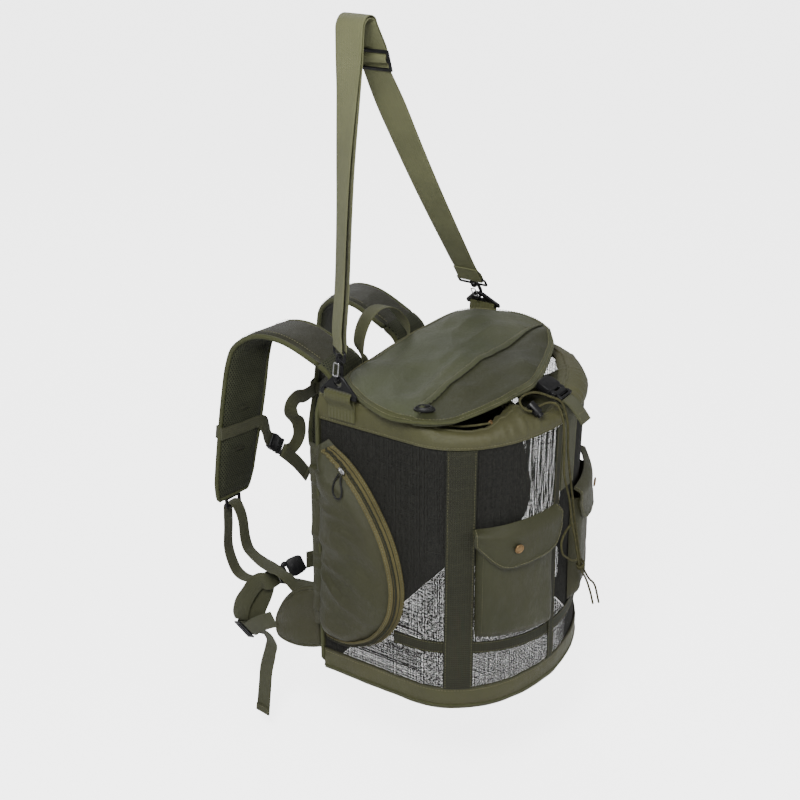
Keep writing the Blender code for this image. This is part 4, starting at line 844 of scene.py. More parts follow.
SIDES = (("left", False), ("right", True))
for side, flip in SIDES:
    rows = []
    for t in span(0.035, 0.965, 130):
        row = [pocket_point(t, (k / 34) ** 1.3) for k in range(35)]
        x, z = row[-1].x, row[-1].z
        hem = min(x, -0.1764)
        row += [Vector((x - 0.0008, 0.1385, z)), Vector((hem, 0.1430, z)), Vector((hem + 0.0006, 0.1465, z)),
                Vector((-0.1750, 0.1484, z))]
        rows.append([mirrored(p, flip) for p in row])
    sheet("side_pouch_" + side, rows[::-1] if flip else rows, CLOTH, "cloth_olive",
          ("side_pocket_" + side,), -1.0)
    rows, ups = [], []
    for t in (k / 120 for k in range(1, 120)):
        room = POCKET_BACK - POCKET_LINE[int(t * (len(POCKET_LINE) - 1))][0]
        if room < 0.016:
            continue
        flat = [pocket_point(t, r * 0.013 / room, 0.0) for r in span(0.0, 1.0, 4)]
        ahead = pocket_point(min(t + 0.01, 1.0), 0.0, 0.0) - pocket_point(max(t - 0.01, 0.0), 0.0, 0.0)
        normals = [ahead_at(flat, j).cross(ahead).normalized() for j in range(5)]
        normals = [-n if n.x > 0 else n for n in normals]
        rows.append([mirrored(p + n * (CLOTH + 0.0011 + GAP * 4.6), flip) for p, n in zip(flat, normals)])
        ups.append(mirrored(normals[2], flip))

    def along_zip(share, lift):
        return [row[0].lerp(row[4], share) + up * lift for row, up in zip(rows, ups)]

    sheet("zip_band_" + side, rows[::-1] if flip else rows, 0.0011, "zip_olive", ("zip_tape_" + side,), 1.0)
    teeth = [p[:3] for p in spline([row[2] + up * 0.0012 for row, up in zip(rows, ups)], 0.0016)]
    tube("zip_coil_" + side, teeth, [0.0013 if k % 2 else 0.0016 for k in range(len(teeth))], "webbing_dark",
         sides=8)
    # dark tubes in the grooves on either side of the coil: painted shade
    for number, share in ((3, 0.30), (7, 0.70)):
        tube(f"zip_shade_line_{side}_{number}", along_zip(share, 0.0010), 0.0007, "webbing_dark", sides=6)
    for share in (0.10, 0.90):
        stitch(along_zip(share, 0.0012), ups)

# Front pockets with flaps
PKT_S0, PKT_S1 = s_of(-0.1385), s_of(-0.0315)
PKT_D = 0.010
FLAP_FACE = LIFT + PKT_D + CLOTH + 0.0010       # how far off the wall the flap's flat part is
POUCH_TOP, FLAP_TOP = 0.2550, 0.2735
FLAP_EDGE = ((0.0, 0.2570), (0.06, 0.2475), (0.14, 0.2350), (0.24, 0.2240), (0.34, 0.2200), (0.55, 0.2205),
             (0.80, 0.2225), (0.90, 0.2270), (0.96, 0.2360), (1.0, 0.2500))


def pouch_out(u, v):
    """How far the pouch stands off the wall at u across and v up."""
    full = swell(min(u, 1 - u), 0.10) ** 0.8 * swell(v, 0.10) ** 0.8
    fold = noise.noise(Vector((u * 3.1, v * 2.2, 5.0))) + 0.5 * noise.noise(Vector((u * 7.0, v * 5.0, 6.0)))
    return GAP + (LIFT - GAP + PKT_D) * full + 0.0034 * max(0.0, fold + 0.2) * full


def flap_out(u, v):
    foot = LIFT + WEB + GAP
    bow = 0.013 * (math.sin(math.pi * u)) ** 0.5 if 0 < u < 1 else 0.0
    return foot + (FLAP_FACE - foot) * swell(v, 0.27) + bow * v * 0.35


def lathe(name, profile, at, sides=28, wide=1.0, deep=1.0):
    """Turned round at's third axis, round or oval: the profile is (radius, height) from the middle out."""
    turns = [2 * math.pi * k / sides for k in range(sides)]
    rings = [[at @ Vector((wide * r * math.cos(t), deep * r * math.sin(t), h)) for t in turns]
             for r, h in profile]
    return sealed(swept(name, rings, [(r * t, h) for r, h in profile for t in turns]))


def frame_at(origin, x_axis, y_axis):
    x = Vector(x_axis).normalized()
    y = Vector(y_axis)
    y = (y - x * y.dot(x)).normalized()
    made = Matrix((x, y, x.cross(y))).transposed().to_4x4()
    made.translation = Vector(origin)
    return made


for side, flip in SIDES:
    def at(s, out, z):
        return mirrored(wall(s, out, z), flip)

    def pouch(u, v, lift=0.0):
        low = 0.1135 + (0.0965 - 0.1135) * u
        return at(PKT_S0 + (PKT_S1 - PKT_S0) * u, pouch_out(u, v) + lift, low + (POUCH_TOP - low) * v)

    near = [0.0, 0.012, 0.03, 0.06, 0.10]
    rows = [[pouch(u, v) for v in near + span(0.16, 1.0, 24)]
            for u in near + span(0.14, 0.86, 26) + [0.90, 0.94, 0.97, 0.988, 1.0]]
    sheet("front_pouch_" + side, rows[::-1] if flip else rows, CLOTH, "cloth_olive", ("front_pocket_" + side,))
    seam = [pouch(u, v, CLOTH) for u, v in [(0.045, v) for v in span(0.95, 0.05, 40)]
            + [(u, 0.04) for u in span(0.045, 0.955, 40)] + [(0.955, v) for v in span(0.05, 0.95, 40)]]
    stitch(seam, [(p - Vector((0, 0.02, p.z))).normalized() for p in seam])

    rows = []
    for u in (0.5 - 0.5 * math.cos(math.pi * k / 40) for k in range(41)):
        s = PKT_S0 - 0.004 + (PKT_S1 - PKT_S0 + 0.008) * u
        drop = eased(FLAP_EDGE, u) - FLAP_TOP
        rows.append([at(s, flap_out(u, v) + 0.0016 * v * noise.noise(Vector((u * 6, v * 3, 11.0))),
                        FLAP_TOP + drop * v) for v in span(0.0, 1.0, 16)])
    sheet("flap_" + side, rows if flip else rows[::-1], 0.002, "cloth_olive", ("pocket_flap_" + side,))
    rim = rows[0][::2] + [row[-1] for row in rows[1:-1]] + rows[-1][::-2]
    rim = [Vector(p[:3]) for p in spline(rim, 0.002)]
    facing = [wall_normal(s_of(p.x)) for p in rim]
    rim = [p + n * 0.0010 for p, n in zip(rim, facing)]
    frames = []
    for i, n in enumerate(facing):
        along = ahead_at(rim, i).normalized()
        n = (n - along * n.dot(along)).normalized()
        frames.append((along.cross(n), n))
    wide = [0.0035 + 0.0009 * noise.noise(Vector((k * 0.31, 1.0, 0.0))) for k in range(len(rim))]
    tube("flap_binding_" + side, rim, wide, "cloth_olive", sides=12, frames=frames, squash=0.50)
    stitch([p + n * 0.0019 for p, (_, n) in zip(rim, frames)], [n for _, n in frames])

    s, z = s_of(-0.100), 0.2445
    up_axis = at(s, 0.030, z) - at(s, 0.0, z + 0.0040)
    across = up_axis.cross(UP)
    cap = frame_at(at(s, FLAP_FACE + 0.0068, z), across, up_axis.cross(across))
    place("snap_cap_" + side, lathe("snap_cap", [
        (0.0004, 0.0010), (0.0020, 0.0012), (0.0034, 0.0010), (0.0042, 0.0004), (0.0048, 0.0004), (0.0056, 0.0012),
        (0.0063, 0.0010), (0.0067, 0.0003), (0.0066, -0.0008), (0.0056, -0.0010)], cap), "brass_snap",
        ("snap_" + side,))

# Collar: the cloth rim, gathered inwards by the drawcord, with a rolled hem
COLLAR = [
    (0.00, 0.4190, 0.003), (0.06, 0.4190, 0.003), (0.14, 0.4170, 0.004), (0.19, 0.4130, 0.013),
    (0.24, 0.4060, 0.018), (0.29, 0.4040, 0.019), (0.315, 0.4045, 0.021), (0.36, 0.4110, 0.034),
    (0.400, 0.4165, 0.046), (0.412, 0.4140, 0.036), (0.426, 0.4040, 0.014), (0.45, 0.4020, 0.016),
    (0.50, 0.4020, 0.022), (0.54, 0.4040, 0.030), (0.58, 0.4080, 0.038), (0.66, 0.4110, 0.038),
    (0.74, 0.4120, 0.034), (0.82, 0.4130, 0.022), (0.88, 0.4190, 0.008), (1.00, 0.4190, 0.003),
]

COLLAR_FOOT, HEM_FOLD = 0.3862, 0.394


def smooth(t):
    return t * t * (3 - 2 * t)


def collar_at(share):
    for (a, *low), (b, *high) in zip(COLLAR, COLLAR[1:]):
        if share <= b:
            t = smooth((share - a) / (b - a))
            return [x + (y - x) * t for x, y in zip(low, high)]
    return COLLAR[-1][1:]


def collar_fold(s, z):
    """Folds in the collar's cloth, deeper away from its sewn lower edge."""
    lifted = clamp((z - COLLAR_FOOT) / 0.012)
    return 0.0034 * lifted * max(0.0, ruffle(s + 0.7 * (z - 0.39), z, 12.0, 21.0, 9.0) + 0.12)


rows, foot = [], []
for k in range(361):
    s = END_S * (2 * (k / 360) - 1)
    top, lean = collar_at(k / 360)
    drawn = clamp((lean - 0.012) / 0.02)
    pucker = noise.noise(Vector((s * 120, 0.0, 5.0))) + 0.5 * noise.noise(Vector((s * 260, 0.0, 6.0)))
    row = []
    for z, inward in [(z, 0.0) for z in (COLLAR_FOOT, 0.3885, 0.3910, 0.3940)] + [
            (HEM_FOLD + (top - HEM_FOLD) * up, inward)
            for up, inward in ((0.28, 0.06), (0.52, 0.13), (0.75, 0.22), (0.90, 0.38))] + [
            (top, 0.60), (top - 0.0004, 0.80), (top - 0.0020, 1.0)]:
        soft = collar_fold(s, z) + drawn * 0.0020 * pucker * clamp((z - 0.388) / 0.01)
        row.append(wall(s, GAP + max(0.0, soft) - lean * inward, z))
    rows.append(row)
    foot.append(row[0] + (row[1] - row[0]) * 0.3 + wall_normal(s) * 0.0009)
sheet("rim_collar", rows, 0.0018, "rim_cloth", ("collar",))
tube("rim_hem", [row[8].lerp(row[9], 0.5) + UP * 0.0006 for row in rows], 0.0026, "rim_cloth", sides=10)
tube("rim_fold", [row[10] for row in rows], 0.0018, "rim_cloth", sides=8)
tube("rim_lower_edge", foot, 0.0013, "rim_cloth", sides=8)
rows = []
for k in range(142, 236):               # the part that the drawcord gathers, behind the opening
    s = END_S * (k / 180 - 1)
    top, lean = collar_at(k / 360)
    pucker = noise.noise(Vector((s * 70, 0.0, 15.0))) + 0.4 * noise.noise(Vector((s * 160, 0.0, 16.0)))
    reach = min(1.0, (k - 142) / 5, (235 - k) / 12)
    bunch = 0.010 * max(0.0, 1 - abs(k - 148) / 12)
    rows.append([wall(s, GAP - lean - 0.0005 - far * (0.25 + 0.75 * reach),
                      top - 0.0030 - far * 0.16 + 0.0016 * pucker * min(1.0, far / 0.01)
                      + bunch * min(1.0, far / 0.015))
                 for far in (0.0, 0.004, 0.009, 0.015, 0.022, 0.030, 0.040, 0.052)])
sheet("rim_gather", rows, 0.0014, "cloth_olive", (), -1.0)
wall_stitch([(s, 0.3893) for s in span(-END_S + 0.002, END_S - 0.002, 330)],
            lambda s, z: GAP + 0.0018 + collar_fold(s, z))
for s in (s_of(-0.1395), s_of(0.1395)):
    _, lean = collar_at((s + END_S) / (2 * END_S))
    wall_stitch([(s, z) for z in span(0.3890, 0.4040, 14)],
                lambda s, z: GAP + 0.0022 - lean * 0.13 * max(0.0, (z - HEM_FOLD) / 0.008))

# Lid
LID = [
    (-0.120, 0.127, 0.4290), (-0.060, 0.129, 0.4310), (0.000, 0.129, 0.4330), (0.070, 0.126, 0.4350),
    (0.120, 0.120, 0.4370), (0.150, 0.104, 0.4380), (0.168, 0.070, 0.4380), (0.181, 0.035, 0.4360),
    (0.166, -0.010, 0.4340), (0.122, -0.046, 0.4320), (0.078, -0.065, 0.4310), (0.030, -0.081, 0.4300),
    (-0.020, -0.092, 0.4300), (-0.060, -0.088, 0.4300), (-0.100, -0.080, 0.4290), (-0.136, -0.069, 0.4275),
    (-0.161, -0.054, 0.4250), (-0.178, -0.023, 0.4230), (-0.188, 0.016, 0.4230), (-0.180, 0.052, 0.4260),
    (-0.164, 0.085, 0.4280), (-0.146, 0.112, 0.4285),
]
LID_MID = Vector((0.0, 0.030, 0.4440))
LIFTS = ((0.0, 0.0105), (0.25, 0.0102), (0.45, 0.0095), (0.62, 0.0083), (0.75, 0.0065), (0.88, 0.0040),
         (0.955, 0.0022), (1.0, 0.0))   # the crown's height, from the middle to the rim
FRONT_SWELLS = (                        # (height, x, its reach, y, its reach) of the cloth's swells
    (0.0085, 0.135, 0.035, -0.030, 0.020), (0.0030, 0.020, 0.040, -0.055, 0.018),
    (-0.0030, -0.075, 0.035, -0.050, 0.025))
REAR_SWELLS = (0.0045, 0.080, 0.060, 0.030, 0.025), (-0.0035, -0.060, 0.050, 0.055, 0.040)
rim = [Vector(p) for p in spline(LID[-2:] + LID + LID[:2], 0.004)]
half = len(rim) // 2
first, last = (min(part, key=lambda k: (rim[k] - Vector(LID[0])).length) for part in (
    range(half), range(half, len(rim))))
LID_RIM = rim[first:last]
LID_TURNS = [math.atan2(p.y - LID_MID.y, p.x - LID_MID.x) for p in LID_RIM]


def lid_level(rim_point, share):
    """The lid's top, share of the way from its middle to a point of its rim."""
    x = LID_MID.x + (rim_point.x - LID_MID.x) * share
    y = LID_MID.y + (rim_point.y - LID_MID.y) * share
    z = rim_point.z + (0.4335 - rim_point.z) * (1 - share) + eased(LIFTS, share)
    fold = noise.noise(Vector((x * 11, y * 17, 1.0))) + 0.45 * noise.noise(Vector((x * 27, y * 36, 2.0)))
    crease = 1 - 2.6 * abs(noise.noise(Vector((x * 9 + y * 7, y * 21 - x * 8, 5.0))))
    inside = min(1.0, (1 - share) / 0.12)
    z += 0.0044 * fold * (0.25 + 0.75 * inside) + 0.0030 * max(0.0, crease) * inside
    z += 0.0034 * math.exp(-((y - 0.014 - 0.05 * (x + 0.05)) / 0.008) ** 2 - ((x + 0.060) / 0.070) ** 2)
    ahead = -0.009 - y
    if ahead > 0:                       # the front part hangs off the zip line, and bellies at its right end
        z -= 0.0026 * min(1.0, ahead / 0.004) * clamp((0.075 - ahead) / 0.05)
    for high, x0, wide, y0, deep in FRONT_SWELLS if ahead > 0 else REAR_SWELLS:
        z += high * math.exp(-((x - x0) / wide) ** 2 - ((y - y0) / deep) ** 2)
    return Vector((x, y, z))


def lid_z(x, y):
    turn = math.atan2(y - LID_MID.y, x - LID_MID.x)
    k = min(range(len(LID_TURNS)), key=lambda i: abs(math.remainder(LID_TURNS[i] - turn, 2 * math.pi)))
    rim_point = LID_RIM[k]
    share = math.hypot(x - LID_MID.x, y - LID_MID.y) / math.hypot(rim_point.x - LID_MID.x,
                                                                  rim_point.y - LID_MID.y)
    return lid_level(rim_point, min(1.0, share)).z


def second_cloth(obj, material, picked):
    """The faces picked by their middle and the way they look take another cloth."""
    obj.data.materials.append(MATERIALS[material])
    for poly in obj.data.polygons:
        if picked(poly.center + HANG, poly.normal):
            poly.material_index = 1


def stitch_up(points):
    """Stitches on a surface that looks up."""
    stitch(points, [UP] * len(points))


SHARES = [1 - (k / 48) ** 1.15 for k in range(49)]
top = [lid_level(p, share) for p in LID_RIM for share in SHARES]
points = top + [p - UP * 0.0024 for p in top]
faces, wide, count = [], len(SHARES), len(LID_RIM)
for i in range(count):
    m = (i + 1) % count
    a, b, c, d = i * wide, m * wide, (count + i) * wide, (count + m) * wide
    for j in range(wide - 1):
        faces += [(a + j, a + j + 1, b + j + 1, b + j), (c + j + 1, c + j, d + j, d + j + 1)]
    faces.append((a, b, d, c))
mesh = sealed(from_lists("lid_top", points, faces, [(p.x, p.y) for p in points]), 1e-6)
# the lid's front part takes the darker cloth as painted shade; the rear keeps the painted sheen
second_cloth(place("lid_top", mesh, "lid_cloth", ("lid",)), "lid_front", lambda p, normal: p.y < -0.0115)
rim_frames = [(Vector((p.x - LID_MID.x, p.y - LID_MID.y, 0)).normalized(), UP) for p in LID_RIM]
tube("lid_binding", [p - UP * 0.0012 for p in LID_RIM], 0.0021, "binding_olive", sides=12, closed=True,
     frames=rim_frames, squash=0.95)
hems = [[lid_level(p, 1 - far / (p - LID_MID).length) + UP * 0.0003
         for far in (0.0076, 0.0060, 0.0040, 0.0020, 0.0)]
        for p in LID_RIM]
sheet("lid_hem", hems[::-1], 0.0011, "binding_olive", (), 1.0, True)
for j in (0, 3):
    stitch_up([row[j].lerp(row[j + 1], 0.4) + UP * 0.0012 for row in hems + hems[:1]])
rows = []                               # the lid's rear edge, turned down to the collar and round both corners
half = len(LID_RIM) // 2
for x, y, z in spline([q for q in LID_RIM[half::5] + LID_RIM[:half:5] if q.y > 0.058], 0.005):
    share = min(0.1672 / max(abs(x), 1e-6), 0.1035 / (y - 0.03))
    foot = Vector((x * share, 0.03 + (y - 0.03) * share, 0.0))
    foot.y += 0.0017 * (1 - clamp((abs(foot.x) - 0.150) / 0.012))
    rise = smooth(clamp((y - 0.062) / 0.016))
    low = foot + UP * 0.4180
    top = low.lerp(Vector((x, y + 0.001, z - 0.001)), rise)
    rows.append([top, top.lerp(low, 0.45) + (foot - Vector((x, y, 0))) * 0.35 * rise, low + UP * 0.0040 * rise]
                + [foot + UP * level for level in (0.4130, 0.4060, 0.3990)])
sheet("lid_hinge", rows, 0.0018, "cloth_olive", (), -1.0)

# The zip line across the lid: a bound tape with a stitched edge
ZIP_Y0, ZIP_Y1 = -0.0125, -0.0055
band = [[Vector((x, y, lid_z(x, y) + 0.0004 + 0.0010 * (ZIP_Y1 - y) / (ZIP_Y1 - ZIP_Y0)))
         for y in span(ZIP_Y0, ZIP_Y1, 4)] for x in span(-0.1660, 0.1560, 110)]
# the tape takes the lid's cloth, with its painted sheen
sheet("lid_zip_tape", band, 0.0012, "lid_cloth", (), 1.0)
stitch_up([row[4].lerp(row[2], 0.30) + UP * 0.0012 for row in band])
# a dark tube along the tape's front edge: the zip's coil under the flap, and painted shadow where the flap's edge
# overhangs
tube("lid_zip_shadow_and_coil", [row[0] + Vector((0, -0.0004, 0.0001)) for row in band], 0.0008, "webbing_dark", sides=8)

PORT = (-0.157, -0.0140)
port_frame = frame_at((*PORT, lid_z(*PORT) + 0.0031), (0.53, -0.85, 0.0), (0.85, 0.53, 0.05))
place("cable_port", lathe("cable_port", [
    (1.0, -0.0018), (1.0, -0.0006), (0.97, 0.0001), (0.88, 0.0004), (0.82, 0.0008), (0.77, 0.0022), (0.68, 0.0030),
    (0.57, 0.0028), (0.50, 0.0016), (0.46, 0.0001), (0.30, -0.0006), (0.06, -0.0010)], port_frame, 40, 0.0135,
    0.0078), "rubber_black", ("lid_port",))


# ---------------------------------------------------------------- hard parts
def rounded(bm, name, edge, segments, angle):
    """The bmesh as a mesh with its sharp edges rounded off."""
    bmesh.ops.recalc_face_normals(bm, faces=bm.faces)
    sharp = [e for e in bm.edges if e.calc_face_angle(0.0) > math.radians(angle)]
    bmesh.ops.bevel(bm, geom=sharp, offset=edge, segments=segments, profile=0.5, affect="EDGES",
                    clamp_overlap=True)
    mesh = bpy.data.meshes.new(name)
    bm.to_mesh(mesh)
    bm.free()
    mesh.uv_layers.new(name=GRAIN)
    return mesh


for node, edge, segments in (("ring_left", 0.0006, 2), ("ring_right", 0.0006, 2), ("pad_lock_left", 0.0006, 2),
                             ("pad_lock_right", 0.0006, 2), ("hip_slider", 0.0006, 2), ("strap_slider", 0.0011, 3),
                             ("cord_lock", 0.0004, 2), ("cord_lock_plunger", 0.0004, 2)):
    bm = bmesh.new()                    # the CAD solid's own shape
    bm.from_mesh(NODES[node].data)
    bmesh.ops.translate(bm, verts=bm.verts, vec=HANG)
    bmesh.ops.remove_doubles(bm, verts=bm.verts, dist=1e-5)
    bmesh.ops.dissolve_limit(bm, angle_limit=math.radians(4), verts=bm.verts, edges=bm.edges)
    place(node + "_finished", rounded(bm, node + "_finished", edge, segments, 28.0), SLOTS[node], (node,),
          "lock_button" if node == "cord_lock_plunger" else "bag")


def slab(name, outline, low, high, at, edge):
    bm = bmesh.new()
    a, b = ([bm.verts.new(at @ Vector((x, y, z))) for x, y in outline] for z in (low, high))
    bm.faces.new(list(reversed(a)))
    bm.faces.new(b)
    for i in range(len(a)):
        j = (i + 1) % len(a)
        bm.faces.new((a[i], a[j], b[j], b[i]))
    return rounded(bm, name, edge, 3, 25.0)


def both(*half):
    """A whole outline from the half on one side of its long axis."""
    return [*half, *((x, -y) for x, y in reversed(half))]


def side_release(name, node, at, long, wide, thick):
    """A side-release buckle: socket with a waist, the two squeezed arms, and the ladder end with its bars."""
    h, parts = thick / 2, []

    def add(low, high, edge, outline):
        parts.append(slab(name, [(x * long, y * wide) for x, y in outline], low, high, at, edge))

    def pair(high, edge, *outline):
        for sign in (1, -1):
            add(-high, high, edge, [(x, y * sign) for x, y in outline][::sign])

    add(-h, h, 0.0016, both((-0.50, -0.36), (-0.44, -0.44), (-0.26, -0.49), (-0.04, -0.50), (0.05, -0.42),
                            (0.09, -0.20)))
    pair(h * 0.72, 0.0010, (0.00, 0.30), (0.03, 0.44), (0.12, 0.50), (0.21, 0.47), (0.27, 0.36), (0.27, 0.22),
         (0.05, 0.22))
    add(-h * 0.80, h * 0.80, 0.0010, both((0.16, -0.30), (0.26, -0.38), (0.33, -0.46)))
    for x0, x1, k in ((0.33, 0.37, 0.55), (0.43, 0.50, 0.80)):
        add(-h * k, h * k, 0.0007, both((x0, -0.46), (x1, -0.46)))
    pair(h * 0.80, 0.0008, (0.32, 0.36), (0.50, 0.36), (0.50, 0.48), (0.32, 0.48))
    for x in (-0.36, -0.30):
        add(h - 0.0006, h + 0.0005, 0.0003, both((x, -0.28), (x + 0.025, -0.28)))
    add(h - 0.0006, h + 0.0004, 0.0004, both((-0.17, -0.22), (-0.02, -0.16)))
    place(name, merged(name, parts), "plastic_black", (node,))


for name, node, spot, x_axis, y_axis, turn, size in (
        ("chest_clasp", "chest_buckle", (-0.0350, 0.3195, 0.2440), (0.74, 0.0, -0.67), (0.67, 0.1, 0.74), 0,
         (0.0340, 0.0250, 0.0085)),
        ("waist_clasp", "hip_buckle", (-0.1095, 0.2410, 0.0942), (0.85, -0.50, 0.30), (0.1, 0.45, 0.85), 180,
         (0.0420, 0.0270, 0.0100)),
        ("lid_clasp", "lid_buckle", (-0.0030, -0.1120, 0.4238), (1, 0, 0), (0.0, -0.93, -0.36), 90,
         (0.0400, 0.0310, 0.0100))):
    side_release(name, node, frame_at(spot, x_axis, y_axis) @ Matrix.Rotation(math.radians(turn), 4, "Z"), *size)

# Snap hooks: where the ring's top bar is, the way up the hook, and the way along the strap's end
RING_HIGH, RING_LEAN = 0.0177, math.radians(35.0)
HOOKS = {
    "left": ((-0.1815, 0.0975, 0.4310 + RING_HIGH), (0.09, 0.0, 1.0), (-0.616, -0.788, 0.0)),
    "right": ((0.1815 - RING_HIGH * math.sin(RING_LEAN), 0.0975, 0.4400 + RING_HIGH * math.cos(RING_LEAN)),
              (-0.62, 0.0, 0.785), (0.0, -1.0, 0.0)),
}
HOOK_J = [                              # (up, across, radius) along the bent part
    (0.0300, 0.0000, 0.0040), (0.0282, 0.0000, 0.0044), (0.0262, 0.0022, 0.0036), (0.0240, 0.0046, 0.0028),
    (0.0200, 0.0062, 0.0025), (0.0120, 0.0064, 0.0025), (0.0055, 0.0058, 0.0025), (0.0015, 0.0032, 0.0024),
    (0.0000, 0.0000, 0.0024), (0.0012, -0.0034, 0.0024), (0.0045, -0.0060, 0.0023), (0.0086, -0.0068, 0.0020),
]
GATE = [                                # (up, across, y) of half the gate's wire, from its hinge to its tip
    (0.0262, -0.0059, 0.0030), (0.0254, -0.0061, 0.0036), (0.0230, -0.0064, 0.0036), (0.0180, -0.0068, 0.0036),
    (0.0120, -0.0073, 0.0036), (0.0104, -0.0072, 0.0034), (0.0098, -0.0070, 0.0024), (0.0097, -0.0070, 0.0),
]
for side, (o, way_up, across) in HOOKS.items():
    up_line = Vector(way_up).normalized()
    v_axis = Vector((up_line.z, 0.0, -up_line.x))

    def at_hook(u, v, y=0.0):
        return Vector(o) + up_line * u + v_axis * v + Vector((0.0, y, 0.0))

    line = spline([(*at_hook(u, v), r) for u, v, r in HOOK_J], 0.0009)
    axis = frame_at(o, v_axis, up_line.cross(v_axis))
    core = [tube_mesh("hook", [p[:3] for p in line], [p[3] for p in line], sides=16),
            lathe("hook", [(0.0020, 0.0276), (0.0042, 0.0280), (0.0047, 0.0290), (0.0047, 0.0322),
                           (0.0043, 0.0330), (0.0034, 0.0333), (0.0034, 0.0340), (0.0045, 0.0344),
                           (0.0046, 0.0362), (0.0030, 0.0372)], axis, 20),
            lathe("hook", [(0.0004, 0.0086), (0.0019, 0.0087), (0.0024, 0.0080), (0.0024, 0.0066)],
                  Matrix.Translation(v_axis * -0.0068) @ axis, 14)]
    w = Vector(across)
    w = (w - up_line * w.dot(up_line)).normalized()
    loop = []                           # the flat loop that the strap's end goes through
    for long, high, start in (
            (0.0200, 0.0080, 0), (-0.0200, 0.0080, 90), (-0.0200, 0.0, 180), (0.0200, 0.0, 270)):
        for a in range(start, start + 91, 15):
            c, s = math.cos(math.radians(a)), math.sin(math.radians(a))
            loop.append(at_hook(0.0344, 0.0) + w * (long + 0.0020 * c) + up_line * (high + 0.0020 * s))
    core.append(tube_mesh("hook", loop, 0.0017, sides=12, closed=True))
    place("snap_hook_" + side, merged("snap_hook_" + side, core), "plastic_black", ("hook_" + side,))
    wire = [at_hook(u, v, y) for u, v, y in [(*GATE[0][:2], -GATE[0][2])] + GATE
            + [(u, v, -y) for u, v, y in GATE[-2:0:-1]]]
    tube("gate_wire_" + side, wire, 0.0008, "wire_steel", ("hook_gate_" + side,), "gate_" + side, sides=10,
         closed=True)

# Zip slider and its pull
slide_at = Vector((-0.1900, 0.0905, 0.3290))
slide_frame = frame_at(slide_at, (0.0, 0.62, 0.78), (0.3, 0.78, -0.62))
place("zip_slider_body", merged("zip_slider_body", [
    slab("slider", both((-0.0055, -0.0030), (-0.0030, -0.0040), (0.0030, -0.0040), (0.0055, -0.0024)),
         -0.0016, 0.0004, slide_frame, 0.0005),
    slab("slider", both((-0.0036, -0.0012), (0.0036, -0.0012)), 0.0002, 0.0018, slide_frame, 0.0006)]),
    "wire_steel", ("zip_slider",))
ZIP_PULL = [
    (-0.0030, 0.0012, -0.0026), (-0.0058, 0.0064, -0.0140), (-0.0086, 0.0072, -0.0260), (-0.0100, 0.0020, -0.0345),
    (-0.0102, -0.0050, -0.0330), (-0.0094, -0.0075, -0.0230), (-0.0068, -0.0040, -0.0120),
    (-0.0034, -0.0020, -0.0040),
]
tube("zip_pull_loop", [p[:3] for p in spline([slide_at + Vector(v) for v in ZIP_PULL], 0.0015)], 0.0012,
     "rubber_black", ("zip_pull",), sides=10)

# ---------------------------------------------------------------- webbing
for side, _ in SIDES:
    webbing("tab_web_" + side, "ring_tab_" + side, WEB, 0.040, "webbing_tab", step=0.0018, sewn=(0.003, 0.016))
webbing("carry_webbing", "carry_strap", 0.0013, 0.038, "webbing_olive", step=0.0024, soften=0.0004)
for side, _ in SIDES:
    webbing("lower_web_" + side, "lower_webbing_" + side, WEB, 0.020, soften=0.0004, sewn=(0.002, 0.010),
            fold=0.012)
    webbing("chest_band_" + side, "chest_loop_" + side, 0.0013, 0.020, step=0.002)
webbing("chest_web", "chest_webbing", WEB, 0.020, soften=0.0004, sewn=(0.002, 0.010), fold=0.012,
        start=(0.0360, 0.3150, 0.1610))
webbing("waist_web_left", "hip_web_left", WEB, 0.025, step=0.0025)
webbing("waist_web_right", "hip_web_right", WEB, 0.025, soften=0.0005)
webbing("waist_belt", "hip_belt_left", WEB, 0.025, step=0.0025, soften=0.0004, sewn=(0.002, 0.011), fold=0.013,
        start=(-0.158, 0.265, -0.138))
webbing("handle_web", "grab_handle", WEB, 0.020, "webbing_hand", soften=0.0003)
webbing("lid_tail", "buckle_tail", 0.0026, 0.025, step=0.002, sewn=(0.002, 0.014),
        start=(-0.004, -0.161, 0.390))

rows = []
for k, s in enumerate(span(s_of(-0.0140), s_of(0.0235), 14)):
    rows.append([wall(s, LIFT, z) for z in span(0.2870, STRIP_TOP, 40)] + [wall(s, LIFT + 0.0007, 0.3940)] + [
        Vector(((k / 14 - 0.5) * wide + x, y, z)) for wide, x, y, z in (
            (0.034, -0.0005, -0.1345, 0.3990), (0.030, -0.001, -0.1335, 0.4045),
            (0.028, -0.002, -0.1288, 0.4088), (0.026, -0.003, -0.1236, 0.4122))])
sheet("anchor_web", rows, WEB, "webbing_low", ("buckle_anchor",))
for i in (1, 13):
    stitch([p + Vector((0, -WEB, 0)) for p in rows[i][:40]], [Vector((0, -1, 0))] * 40)


# ---------------------------------------------------------------- padded parts
def held(mesh):
    obj = bpy.data.objects.new("puff", mesh)
    SCENE.collection.objects.link(obj)
    return obj


def applied(obj):
    """The object's mesh as its modifiers leave it; the object goes."""
    bpy.context.view_layer.update()
    mesh = bpy.data.meshes.new_from_object(obj.evaluated_get(bpy.context.evaluated_depsgraph_get()))
    bpy.data.objects.remove(obj, do_unlink=True)
    return mesh


